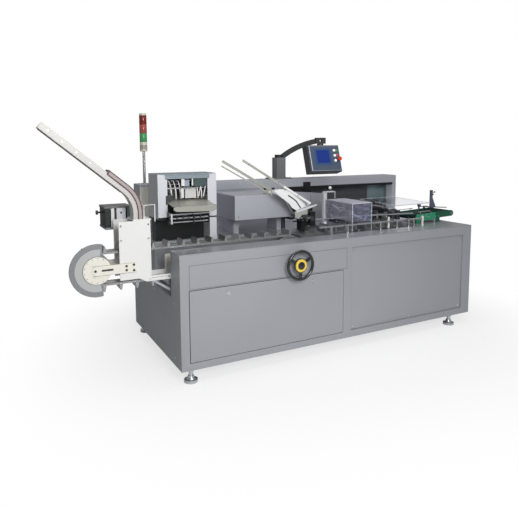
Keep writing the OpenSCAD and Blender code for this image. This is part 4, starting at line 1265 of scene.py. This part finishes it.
@dataclass
class LeafletStation:
    """Leaflet station: sheet portal, tray, rollers, forks and the stack."""

    left: float = 0.0
    right: float = 485.0
    post: float = 60.0
    tray_end: float = 412.0

    def build(self, frame: Frame) -> None:
        """Dresses the nodes and fills the portal with its mechanism."""
        for node, finish, bevel in (("leaflet_base", BLACK, 1.5), ("leaflet_rollers", BRIGHT, 1.0),
                                    ("leaflet_guides", NYLON, 1.0)):
            frame.dressed(node, finish, bevel=bevel)
        tray = Blank()
        for y0, y1, x0, x1 in ((300, 473, 75, self.tray_end),
                               (472.5, 718, self.post, self.right - self.post)):
            low, high = (1240 + (y - 300) * 50 / 418 for y in (y0, y1))
            tray.prism([(y0, low), (y1, high), (y1, high + 8), (y0, low + 8)], Axis.X, x0, x1)
        tray.piece("leaflet tray", TRAY, "sheet_steel", replaces=["leaflet_tray"], bevel=1)
        frame.part("leaflet_frame", "leaflet posts", POST_SHEET, lambda p: p.z < 1478 and p.y < 717, 1.5,
                   stands_for=True)
        frame.part("leaflet_frame", "leaflet top", TOP_BEAM, lambda p: p.z >= 1478 or p.y >= 717, 1.5)
        self.beam()
        self.mechanism()
        self.stack()
        self.tray_rods()

    def beam(self) -> None:
        """Adds the top beam's front, the dark interior and the strips of the left post."""
        inner = (self.left + self.post, self.right - self.post)
        Blank().box((inner[0], 480, 1448),
                    (inner[1], 492, 1479)).piece("top beam", TOP_BEAM, "grey_sheet", bevel=1)
        Blank().box((inner[0] + 0.5, 715, 1300),
                    (inner[1] - 0.5, 717.7, 1478)).piece("bay back", LINING, "grey_sheet")
        foot = Blank().box((self.left - 0.2, 476.4, 1140), (self.left + self.post, 476.9, 1152))
        foot.piece("post foot strip", BLACK, "black_paint")
        faces = Blank()
        for x0, x1, inner_x in ((self.left, 76, self.left + self.post), (409, self.right, 409)):
            faces.box((x0 + 0.5, 475.8, 1152), (x1, 477.2, 1446))
            faces.box((inner_x, 477, 1152), (inner_x + 16, 488, 1446))
        faces.piece("post faces", POST_SHEET, "grey_sheet", bevel=0.4)
        support = Blank().box((425, 478, DECK_TOP), (485, 618, 1129.5))
        support.piece("right post foot", POST_SHEET, "grey_sheet", bevel=1.5)

    def mechanism(self) -> None:
        """Adds forks, shafts, suction arms and the roller box in the portal."""
        shafts = Blank()
        for y, z, r in ((560, 1430, 10), (600, 1400, 8), (520, 1372, 7)):
            shafts.rod((self.left + self.post, y, z), (self.right - self.post, y, z), r)
        shafts.piece("leaflet shafts", BRIGHT, "bright_metal")
        Repeat("leaflet clamps", BLACK, "black_plastic").bars((85, 560, 1428), (37, 0, 0), 9, (12, 46, 34))
        forks = Blank()
        for x in (112, 148, 186, 330, 362):
            forks.tube([(x, 560, 1436), (x + 4, 528, 1400), (x + 8, 512, 1340), (x + 12, 520, 1288)], 5, 8)
        forks.piece("leaflet forks", NYLON, "white_plastic")
        fingers = Blank()
        for x0, x1, z0, z1 in ((196, 222, 1390, 1460), (192, 214, 1296, 1370), (282, 294, 1390, 1458)):
            fingers.box((x0, 490, z0), (x1, 498, z1))
        fingers.piece("leaflet fingers", WHITE, "white_paint", bevel=1.5)
        Blank().box((224, 500, 1386),
                    (266, 540, 1438)).piece("sucker block", PALE_BLOCK, "sheet_steel", bevel=2)
        Blank().box((302, 492.5, 1384),
                    (424, 520, 1476)).piece("drive box", DRIVE_BOX, "dark_grey_paint", bevel=2)
        arms = Blank()
        for x, lean in ((365, 28), (404, 26)):
            arms.prism([(x, 1420), (x + 8, 1420), (x + 8 - lean, 1300), (x - lean, 1300)], Axis.Y, 500, 506)
        arms.piece("leaflet arms", WHITE, "white_paint", bevel=0.8)
        box = Blank().prism([(62, 1318), (104, 1336), (118, 1300), (96, 1262), (62, 1250)], Axis.Y, 470, 640)
        box.piece("roller box", DARK, "dark_grey_paint", bevel=1.5)
        blocks = Blank()
        for x, z in ((80, 1360), (400, 1336), (402, 1396)):
            blocks.box((x - 16, 520, z - 16), (x + 16, 580, z + 16))
        blocks.piece("shaft blocks", DARK, "dark_grey_paint", bevel=1.5)
        screws = [(x, 520, z) for x, z in ((80, 1360), (400, 1336), (402, 1396))]
        Repeat("block screws", BRIGHT, "bright_metal").fasteners(screws, Facing.FRONT, 4.0, 3.0)

    def stack(self) -> None:
        """Adds the stack of folded leaflets as loose sheets."""
        Repeat("leaflet stack", WHITE,
               "white_plastic").bars((282, 556, 1291), (0.1, 0.3, 2.6), 34, (92, 70, 2.2))

    def tray_rods(self) -> None:
        """Adds the front plate of the tray and the rods and black box under it."""
        plate = Blank().prism([(66, 1244), (66, 1226), (92, 1212), (388, 1202), (412, 1216), (412, 1240),
                               (398, 1244)],
                              Axis.Y, 300.5, 306)
        plate.piece("tray front", TRAY, "sheet_steel", bevel=1)
        rods = Blank()
        for z, r in ((1181, 9), (1150, 8), (1120, 7)):
            rods.rod((66, 400, z), (386, 400, z), r)
        rods.piece("tray rods", BRIGHT, "bright_metal")
        holders = Blank()
        for x in (70, 250, 376):
            holders.box((x, 392, 1100), (x + 12, 476, 1196))
        holders.piece("rod holders", BLACK, "black_paint", bevel=1)
        Blank().box((71, 380, 1110), (81, 391.5, 1190)).piece("white bracket", WHITE, "white_paint", bevel=1)
        Repeat("rod collars", DARK, "dark_grey_paint").bars((120, 400, 1150), (48, 0, 0), 5, (10, 24, 24))


@dataclass
class CartonMagazine:
    """Sloping carton magazine over its drive cover."""

    near: float = 330.0
    far: float = 490.0
    near_rail: tuple[Pair, Pair] = ((660.0, 1595.0), (1300.0, 1215.0))

    def build(self, frame: Frame) -> None:
        """Dresses the nodes and adds the guide's side plate, a cross bar, bolts and the opening mechanism."""
        frame.dressed("magazine_drive_cover", GREY_SIDE, bevel=3.0)
        bend, foot = Cut((1010.0, 0.0, 1325.0),
                         (0.87, 0.0, -0.49)), Cut((1147.0, 0.0, 1150.0), (0.22, 0.0, -0.975))
        frame.part("magazine_rails", "magazine upper rails", RAIL, lambda p: not bend.beyond(p), 1.0,
                   stands_for=True,
                   cut=bend)
        frame.part("magazine_rails", "magazine lower rails", NYLON, bend.beyond, 1.0, cut=bend)
        frame.part("magazine_guides", "magazine guide plates", GREY_SIDE, lambda p: not foot.beyond(p), 1.0,
                   stands_for=True,
                   cut=foot)
        frame.part("magazine_guides", "magazine guide feet", DARK, foot.beyond, 1.0, cut=foot)
        self.side_plate()
        self.cross_bars()
        self.outfeed()

    def between(self, rail: tuple[Pair, Pair], share: float,
                above: float = 0.0) -> Pair:
        """Point along a rail, at a share of its length and a height above it."""
        (x0, z0), (x1, z1) = rail
        length = math.dist(rail[0], rail[1])
        return (x0 + (x1 - x0) * share - above * (z1 - z0) / length,
                z0 + (z1 - z0) * share + above * (x1 - x0) / length)

    def side_plate(self) -> None:
        """Lays the bent white plate, its dark gap and the ribbed strip on the near guide."""
        low = [(939, 1330), (1012, 1269), (1079, 1224), (1116, 1179), (1158, 1154)]
        high = [(1246, 1182), (1226, 1212), (1176, 1254), (1124, 1292), (1086, 1318), (1049, 1336),
                (1005, 1343),
                (957, 1341)]
        gap = [(1079, 1291), (1124, 1264), (1161, 1235), (1184, 1201), (1203, 1176)]
        ribs = [(1100, 1314), (1140, 1289), (1188, 1254), (1236, 1208), (1254, 1180)]
        face = self.near + 7.8
        plate = Blank().prism([*low, *high], Axis.Y, face - 3, face)
        plate.piece("magazine side plate", NYLON, "white_plastic", bevel=0.8)
        line = Blank().prism([*gap, *[(x - 8, z - 8) for x, z in reversed(gap)]], Axis.Y, face - 3.4,
                             face - 2.9)
        line.piece("magazine plate gap", SEAM, "white_plastic")
        strip = Blank().prism([*[(x + 14, z + 14) for x, z in ribs],
                               *[(x - 12, z - 12) for x, z in reversed(ribs)]],
                              Axis.Y, face - 1.4, face - 0.4)
        strip.piece("magazine rib strip", GUARD_GREY, "grey_sheet")
        spots = [(x0 + (x1 - x0) * s, face - 1.4, z0 + (z1 - z0) * s)
                 for (x0, z0), (x1, z1) in zip(ribs, ribs[1:]) for s in (0.1, 0.35, 0.6, 0.85)]
        Repeat("magazine ribs", POST_SHEET, "grey_sheet").fasteners(spots, Facing.FRONT, 4.0, 1.0, 4)

    def cross_bars(self) -> None:
        """Adds the bar across the rails, the bolts and the cover's screws."""
        x, z = self.between(self.near_rail, 0.62, -26)
        bar = Blank().rod((x, self.near + 1, z), (x, self.far - 1, z), 7)
        bar.piece("magazine cross bar", BRIGHT, "bright_metal")
        bolts = [(984, self.far, 1305)]
        Repeat("hanger bolt", WHITE, "bright_metal").fasteners(bolts, Facing.FRONT, 9.0, 8.0)
        rail_bolts = [(x, self.near, z) for x,
                      z in (self.between(self.near_rail, s, -9) for s in (0.08, 0.34, 0.5, 0.8))]
        Repeat("rail bolts", BRIGHT, "bright_metal").fasteners(rail_bolts, Facing.FRONT, 4.5, 3.0)
        cover = [(x, y, 1288) for x in (690, 1205)
                 for y in (530, 856)] + [(x, 500, 1110) for x in (690, 1205)]
        Repeat("cover screws", BRIGHT, "bright_metal").fasteners(cover[:4], Facing.UP, 4.5, 2.0, 16)
        Repeat("cover front screws", BRIGHT, "bright_metal").fasteners(cover[4:], Facing.FRONT, 4.5, 2.0, 16)

    def outfeed(self) -> None:
        """Adds the opening mechanism at the magazine's lower end: cross plate, arms and suction cups."""
        plate = Blank().prism([(1147, 1154), (1237, 1174), (1352, 1200), (1353, 1188), (1242, 1156),
                               (1150, 1136)],
                              Axis.Y, 318, 326)
        plate.piece("magazine cross plate", POST_SHEET, "sheet_steel", bevel=1.5)
        arms = Blank()
        for y in (360, 400, 440):
            arms.prism([(1180, 1096), (1330, 1080), (1334, 1066), (1182, 1080)], Axis.Y, y, y + 10)
        arms.piece("opening arms", BRIGHT, "bright_metal", bevel=1)
        hub = Blank().rod((1330, 350, 1072), (1330, 470, 1072), 20)
        hub.rod((1196, 352, 1088), (1196, 460, 1088), 15)
        hub.piece("opening shafts", DARK, "dark_grey_paint")
        mount = Blank().prism([(1136, 1146), (1262, 1164), (1262, 1117), (1207, 1114), (1177, 1082),
                               (1142, 1092)],
                              Axis.Y, 326, 334)
        mount.piece("magazine outlet mount", RAIL, "sheet_steel", bevel=1.5)
        tower = Blank().box((1296, 476, DECK_TOP),
                            (1366, 560, 1128)).box((1306, 486, 1120), (1420, 548, 1150))
        tower.box((1380, 470, 990), (1440, 600, 1112))
        tower.piece("opening drive", BLACK, "black_paint", bevel=3)
        legs = Blank().box((1180, 620, DECK_TOP), (1212, 660, 1070)).box((1176, 470, 1058), (1216, 660, 1072))
        legs.piece("opening bracket", DARK, "dark_grey_paint", bevel=2)
        cups = Blank()
        for y in (372, 412, 452):
            cups.turned([(0, 0), (4, 0), (4, -16), (10, -24), (10, -27), (0, -27)], (1240, y, 1078), Axis.Z,
                        16)
        cups.piece("suction cups", BLACK, "black_plastic")
        Repeat("opening drive bolts", BRIGHT, "bright_metal").fasteners(
            [(x, 476, z) for x in (1310, 1352) for z in (1040, 1104)], Facing.FRONT)


@dataclass
class CartonTransport:
    """Carton chain with its rails and the tucking unit."""

    left: float = 1290.0
    right: float = 2320.0
    axle: float = 885.0
    radius: float = 50.0
    strands: Pair = (340.0, 560.0)

    def build(self, frame: Frame) -> None:
        """Dresses the nodes and adds links, chain guides and tucking arms."""
        for node, finish, bevel in (("carton_chain", CHAIN, 0.8), ("carton_rails", BRIGHT, 1.5),
                                    ("tucking_unit", BLACK, 3.0)):
            frame.dressed(node, finish, bevel=bevel)
        for i, y in enumerate(self.strands):
            for j, side in enumerate((-11.5, 11.5)):
                loop = stadium(self.left, self.right, self.axle, self.radius, y + side)
                Repeat(f"carton chain links {2 * i + j + 1}", CHAIN,
                       "chain_steel").links(loop, 19.05, (15, 3, 13), 3.5)
        self.tuckers()
        self.deck_parts()

    def tuckers(self) -> None:
        """Adds crank discs, rods and covers on the tucking unit."""
        cranks = Blank()
        for x in (1970, 2080, 2190, 2268):
            cranks.rod((x, 640, 1060), (x, 661, 1060), 30, 28)
            cranks.rod((x + 14, 628, 1074), (x + 14, 662, 1074), 8)
        cranks.piece("tucking cranks", CHAIN, "chain_steel", bevel=1)
        rods = Blank()
        for x in (1984, 2094):
            rods.rod((x, 632, 1074), (x + 110, 632, 1074), 5)
        for x in (1990, 2210):
            rods.rod((x, 470, 1108), (x, 660, 1108), 9)
        rods.piece("tucking rods", BRIGHT, "bright_metal")
        fingers = Blank()
        for x in (1975, 2195):
            fingers.prism([(420, 1070), (440, 1070), (452, 1010), (438, 1006)], Axis.X, x, x + 24)
        fingers.piece("tucking fingers", BRIGHT, "bright_metal", bevel=1)
        covers = Blank().box((1912, 672, 1128), (2010, 768, 1168)).box((2150, 672, 1128), (2288, 768, 1150))
        covers.piece("tucking covers", DARK, "dark_grey_paint", bevel=3)
        Repeat("tucking bolts", BRIGHT, "bright_metal").fasteners(
            [(x, 660, z) for x in range(1924, 2300, 72) for z in (968, 1112)], Facing.FRONT)

    def deck_parts(self) -> None:
        """Adds the small posts, blocks and white strips that stand along the transport."""
        posts = Blank()
        for x in (1560, 1920, 2110, 2250):
            posts.rod((x, 150, 945), (x, 150, 1036), 7)
            posts.rod((x, 150, 1026), (x, 186, 1026), 6)
        posts.piece("rail posts", BRIGHT, "bright_metal")
        strips = Blank().box((2070, 226, DECK_TOP),
                             (2090, 232, 1050)).box((2448, 180, DECK_TOP), (2462, 196, 1040))
        strips.piece("white strips", WHITE, "white_paint", bevel=1)
        heads = Blank()
        for x in (1560, 1920, 2110, 2250):
            heads.sphere((x, 150, 1040), 9)
        heads.piece("rail post heads", BLACK, "black_plastic")
        blocks = Blank()
        for x, y in ((2330, 470), (2360, 640), (2440, 520), (2410, 700)):
            blocks.box((x, y, DECK_TOP), (x + 42, y + 70, 1058))
        blocks.box((2330, 560, 1040), (2470, 600, 1066))
        blocks.piece("closing blocks", DARK, "dark_grey_paint", bevel=3)
        bars = Blank()
        for y, z in ((300, 1066), (598, 1078)):
            bars.rod((1880, y, z), (2440, y, z - 14), 7)
        bars.piece("closing bars", BRIGHT, "bright_metal")


@dataclass
class ClearGuards:
    """Clear box and shelf over the transport, with their posts and edges."""

    box_x: Pair = (1641.0, 1858.0)
    box_y: Pair = (198.0, 606.0)
    top: float = 1200.0
    post: Pair = (1677.0, 666.0)

    def build(self, frame: Frame) -> None:
        """Makes sheets and posts of their own finishes, and adds edge strips, knob and hinges."""
        node = "clear_guards"
        frame.part(node, "clear box", ACRYLIC, lambda p: p.x < 1900 and p.y < 610, 0.8, stands_for=True)
        (x0, x1), (y0, y1) = self.box_x, self.box_y
        top = Blank().box((x0 + 7, y0 + 7, self.top + 0.3), (x1 - 7, y1 - 7, self.top + 1.5))
        top.piece("box top", PALE_ACRYLIC, "clear_sheet")
        haze = Blank().box((x0 + 7, y0 - 0.4, 1040), (x1 - 7, y0 + 0.4, self.top - 6))
        haze.piece("box front haze", HAZY_ACRYLIC, "clear_sheet")
        cloud = Blank().box((x0 - 0.4, y0 + 7, 1040), (x0 + 0.4, y1 - 7, self.top - 6))
        cloud.piece("box side haze", CLOUDY_ACRYLIC, "clear_sheet")
        frame.part(node, "guard post", POST_SHEET, lambda p: p.x < 1900 and p.y >= 610, 1.5)
        frame.part(node, "clear shelf", ACRYLIC, lambda p: p.x >= 1900 and p.z > 1119, 0.8)
        frame.part(node, "shelf post", BRIGHT, lambda p: p.x >= 1900 and p.z <= 1119, 1.0)
        self.edges()
        self.post_top()

    def edges(self) -> None:
        """Adds the pale edge strips of the box and the shelf."""
        (x0, x1), (y0, y1) = self.box_x, self.box_y
        e = 5.0
        edges = Blank()
        for x in (x0 + 0.4, x1 - e - 0.4):
            edges.box((x, y0 - 0.4, DECK_TOP), (x + e, y0 + 1.0, self.top + 0.3))
        edges.box((x0, y0 - 0.4, self.top - e), (x1, y0 + 1.0, self.top + 0.4))
        edges.box((x0, y1 - 1.0, self.top - e), (x1, y1 + 0.4, self.top + 0.4))
        for x in (x0 - 0.4, x1 - 1.0):
            edges.box((x, y0, self.top - e), (x + 1.4, y1, self.top + 0.4))
        edges.box((x1 - e, y1 - e, 1090), (x1 + 0.3, y1 + 0.3, self.top))
        edges.piece("box edges", PALE_EDGE_AND_HIGHLIGHT, "clear_sheet")
        shelf = Blank()
        outline = [(2310, 385), (2783, 428), (2880, 1059), (2400, 1059)]
        for (ax, ay), (bx, by) in zip(outline, outline[1:] + outline[:1]):
            shelf.tube([(ax, ay, 1123), (bx, by, 1123)], 3.4, 8)
        shelf.piece("shelf edges", PALE_EDGE_AND_HIGHLIGHT, "clear_sheet")

    def post_top(self) -> None:
        """Adds the post's head plate, knob, hinge plates and bracket."""
        x1, y1 = self.post
        top = Blank().box((x1 - 24, 620, 1263),
                          (x1 + 84, y1 + 6, 1271)).box((x1 + 78, 620, 1204), (x1 + 84, 626, 1264))
        top.piece("post head", POST_SHEET, "bright_metal", bevel=1)
        Blank().sphere((x1 + 44, 650, 1303), 15).piece("post knob", WHITE, "white_plastic")
        Blank().rod((x1 + 44, 650, 1270), (x1 + 44, 650, 1292), 5).piece("knob stem", DARK, "dark_grey_paint")
        hinge = Blank().tube([(x1 + 104, 611, 1186), (x1 + 176, 611, 1182), (x1 + 176, 611, 1110),
                              (x1 + 104, 611, 1114),
                              (x1 + 104, 611, 1186)], 4)
        hinge.piece("guard hinge", WHITE, "white_paint")
        inner = Blank().box((1700, 610, DECK_TOP),
                            (1790, 640, 1120)).box((1716, 590, 1070), (1850, 640, 1092))
        inner.piece("folding unit", DARK, "dark_grey_paint", bevel=2)
        plates = Blank().prism([(1690, 1160), (1780, 1100), (1780, 1086), (1690, 1146)], Axis.Y, 560, 590)
        plates.prism([(1700, 1110), (1840, 1046), (1836, 1034), (1698, 1096)], Axis.Y, 300, 320)
        plates.piece("folding plates", BRIGHT, "bright_metal", bevel=1)
        Repeat("folding bolts", BRIGHT, "bright_metal").fasteners(
            [(x, 610, z) for x in (1716, 1774) for z in (980, 1040)], Facing.FRONT)


@dataclass
class Discharge:
    """Belt discharge with green sides, hold-down bar and mast."""

    left: float = 2519.0
    right: float = 2961.0
    low: float = 1004.0
    high: float = 1022.0
    near: float = 300.0
    far: float = 600.0
    painted_shade_from: float = 2740.0

    def build(self, frame: Frame) -> None:
        """Dresses the nodes and adds roller caps, screws and the mast's head."""
        # Painted shade: past this cut along the machine, and on the far rails, the green is the darkened copy
        end = Cut((self.painted_shade_from, 0.0, 0.0), (1.0, 0.0, 0.0))
        frame.part("discharge_frame", "discharge near plate", GREEN,
                   lambda p: p.y < 320 and not end.beyond(p), 1.5,
                   stands_for=True, cut=end)
        frame.part("discharge_frame", "discharge rails", PAINTED_SHADE_GREEN, lambda p: p.y >= 320 or end.beyond(p),
                   1.5, cut=end)
        frame.dressed("discharge_belt", BELT, bevel=0.5)
        frame.dressed("hold_down_bar", BAR_PAINT, bevel=1.0)
        self.ends()
        self.mast()

    def ends(self) -> None:
        """Adds roller caps, screws, tension blocks and the belt's dark side line."""
        caps = Blank()
        for x, z in ((self.left, self.low), (self.right, self.high)):
            caps.rod((x, self.near + 4, z), (x, self.near + 9, z), 12)
            caps.rod((x, self.far - 9, z), (x, self.far - 4, z), 12)
        caps.piece("roller caps", BRIGHT, "bright_metal")
        line = Blank()
        for y in (self.near + 7.4, self.far - 9.4):
            line.prism([(2800, 1032), (2958, 1038.4), (2958, 1036.4), (2800, 1030)], Axis.Y, y, y + 2)
        line.piece("belt side line", BLACK, "green_belt")
        screws = [(x, self.near, 1002) for x in (2508, 2580, 2660, 2740, 2782)]
        Repeat("discharge screws", BRIGHT, "bright_metal").fasteners(screws, Facing.FRONT, 4.0, 2.5, 16)
        blocks = Blank().box((2600, self.near - 4, 1004),
                             (2624, self.near, 1030)).box((2700, 284, DECK_TOP), (2716, 300, 990))
        blocks.piece("discharge brackets", BRIGHT, "bright_metal", bevel=1)
        guides = Blank()
        for y in (330, 570):
            guides.tube([(2535, y, 1052), (2690, y, 1058)], 4, 10)
            for x in (2545, 2680):
                out = y - 26 if y < 400 else y + 26
                guides.tube([(x, y, 1052), (x, out, 1052), (x, out, 1020)], 3, 8)
        guides.piece("belt guides", BRIGHT, "bright_metal")

    def mast(self) -> None:
        """Adds the mast's head, lever and the bar's bolts."""
        head = Blank().box((2866, 486, 1226), (2884, 514, 1241))
        head.piece("mast head", DARK, "dark_grey_paint", bevel=2)
        lever = Blank().rod((2886, 500, 1216), (2918, 500, 1220), 4)
        lever.sphere((2922, 500, 1220), 8)
        lever.rod((2875, 470, 1200), (2875, 491, 1200), 6)
        lever.piece("mast lever", BLACK, "black_plastic")
        sensor = Blank().box((2700, 486, 1088), (2726, 514, 1104)).box((2704, 494, 1060), (2716, 506, 1082))
        sensor.piece("bar sensor", BLACK, "black_plastic", bevel=1)
        Repeat("bar bolts", BRIGHT, "bright_metal").fasteners(
            [(2770, 490, 1077), (2940, 490, 1063), (3060, 490, 1054)], Facing.FRONT, 3.5, 3.0)


@dataclass
class Studio:
    """Pale floor, soft lamps, white background and the camera of the picture."""

    camera_place: tuple[float, float, float] = (-1177.6, -3488.0, 1709.7)
    yaw: float = 28.104
    pitch: float = 6.276
    roll: float = -0.222
    lens: float = 36.907
    shift: Pair = (-0.0135, -0.0971)
    key_energy: float = 130.0
    top_energy: float = 92.0
    ambient: float = 0.14
    mirrored: float = 0.33
    floor_glow: float = 0.7
    middle: tuple[float, float, float] = (1.35, 0.55, 0.8)

    def build(self) -> None:
        """Sets up everything that isn't part of the machine."""
        bpy.context.scene.view_settings.view_transform = "Standard"
        self.camera()
        self.world()
        self.lamp("key lamp", (0.0, -4.0, 2.6), 1.5, self.key_energy)
        self.lamp("top lamp", (1.2, -0.6, 5.2), 4.0, self.top_energy)
        self.floor()

    def camera(self) -> None:
        """Places the camera at the picture's angle."""
        yaw, pitch, roll = (math.radians(a) for a in (self.yaw, self.pitch, self.roll))
        ahead = Vector((math.sin(yaw) * math.cos(pitch), math.cos(yaw) * math.cos(pitch), -math.sin(pitch)))
        right = Vector((math.cos(yaw), -math.sin(yaw), 0))
        up = right.cross(ahead)
        across = right * math.cos(roll) + up * math.sin(roll)
        over = up * math.cos(roll) - right * math.sin(roll)
        lens = bpy.data.cameras.new("camera")
        lens.lens = self.lens
        lens.sensor_width = 36.0
        lens.sensor_fit = "HORIZONTAL"
        lens.shift_x, lens.shift_y = self.shift
        lens.clip_end = 100.0
        camera = bpy.data.objects.new("camera", lens)
        turn = Matrix((across, over, -ahead)).transposed().to_4x4()
        turn.translation = (Vector(self.camera_place) - FOOT) * METRES
        camera.matrix_world = turn
        bpy.context.scene.collection.objects.link(camera)
        bpy.context.scene.camera = camera

    def lamp(self, name: str, place: Point, size: float, energy: float) -> None:
        """Adds a soft square lamp that faces the machine."""
        light = bpy.data.lights.new(name, "AREA")
        light.energy = energy
        light.size = size
        made = bpy.data.objects.new(name, light)
        made.visible_camera = False
        made.location = place
        made.rotation_euler = (Vector(self.middle) - Vector(place)).to_track_quat("-Z", "Y").to_euler()
        bpy.context.scene.collection.objects.link(made)

    def world(self) -> None:
        """Makes a world that lights softly and is white where it is seen or mirrored."""
        world = bpy.data.worlds.new("studio")
        world.use_nodes = True
        t = Tree(world.node_tree)
        shade = world.node_tree.nodes["Background"]
        shade.inputs["Color"].default_value = (1.0, 1.0, 1.0, 1.0)
        shade.inputs["Strength"].default_value = self.ambient
        path = t.add("ShaderNodeLightPath").outputs
        seen = t.math("MAXIMUM", path["Is Camera Ray"], path["Is Transmission Ray"])
        white = t.add("ShaderNodeBackground", {"Color": (1.0, 1.0, 1.0, 1.0), "Strength": 1.0}).outputs[0]
        mirrored = t.add("ShaderNodeBackground",
                         {"Color": (1.0, 1.0, 1.0, 1.0), "Strength": self.mirrored}).outputs[0]
        first = t.add("ShaderNodeMixShader",
                      {0: path["Is Glossy Ray"], 1: shade.outputs[0], 2: mirrored}).outputs[0]
        both = t.add("ShaderNodeMixShader", {0: seen, 1: first, 2: white}).outputs[0]
        t.tree.links.new(both, world.node_tree.nodes["World Output"].inputs["Surface"])
        bpy.context.scene.world = world

    def floor(self) -> None:
        """Lays a pale floor that keeps the shadow and fades to white away from the machine."""
        data = bpy.data.meshes.new("floor")
        reach = 30.0
        data.from_pydata([(-reach, -reach, 0), (reach, -reach, 0), (reach, reach, 0), (-reach, reach, 0)], [],
                         [(0, 1, 2, 3)])
        made = bpy.data.materials.new("studio floor")
        made.use_nodes = True
        t = Tree(made.node_tree)
        shader = made.node_tree.nodes["Principled BSDF"]
        shader.inputs["Base Color"].default_value = (0.93, 0.93, 0.93, 1.0)
        shader.inputs["Roughness"].default_value = 0.75
        shader.inputs["Specular IOR Level"].default_value = 0.2
        place = t.add("ShaderNodeTexCoord").outputs["Object"]
        centre = (self.middle[0], self.middle[1], 0.0)
        far = t.add("ShaderNodeVectorMath", {0: place, 1: centre}, operation="DISTANCE").outputs["Value"]
        fade = t.add("ShaderNodeMapRange",
                     {"Value": far, "From Min": 1.2, "From Max": 2.7, "To Min": self.floor_glow},
                     interpolation_type="SMOOTHSTEP").outputs["Result"]
        path = t.add("ShaderNodeLightPath").outputs
        seen = t.math("MAXIMUM", path["Is Camera Ray"], path["Is Transmission Ray"])
        share = t.math("MULTIPLY", fade, seen)
        white = t.add("ShaderNodeEmission", {"Color": (1.0, 1.0, 1.0, 1.0), "Strength": 1.0}).outputs[0]
        both = t.add("ShaderNodeMixShader", {0: share, 1: shader.outputs[0], 2: white}).outputs[0]
        t.tree.links.new(both, made.node_tree.nodes["Material Output"].inputs["Surface"])
        data.materials.append(made)
        floor = bpy.data.objects.new("floor", data)
        bpy.context.scene.collection.objects.link(floor)


def main() -> None:
    """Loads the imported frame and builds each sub-assembly."""
    logging.basicConfig(level=logging.INFO, format="%(name)s: %(message)s")
    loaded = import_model()
    record = loaded["record"]
    slots = {part["node"]: part["material_slot"] for part in record["subparts"]}
    frame = Frame(loaded["nodes"], slots)
    for assembly in (Cabinet(), HandWheel(), Hood(), SignalTower(), OperatorPanel(), InfeedConveyor(),
                     ProductChute(),
                     FeederUnit(), LeafletStation(), CartonMagazine(), CartonTransport(), ClearGuards(),
                     Discharge()):
        assembly.build(frame)
        LOG.info("%s built", type(assembly).__name__)
    Studio().build()


if __name__ == "__main__":
    main()
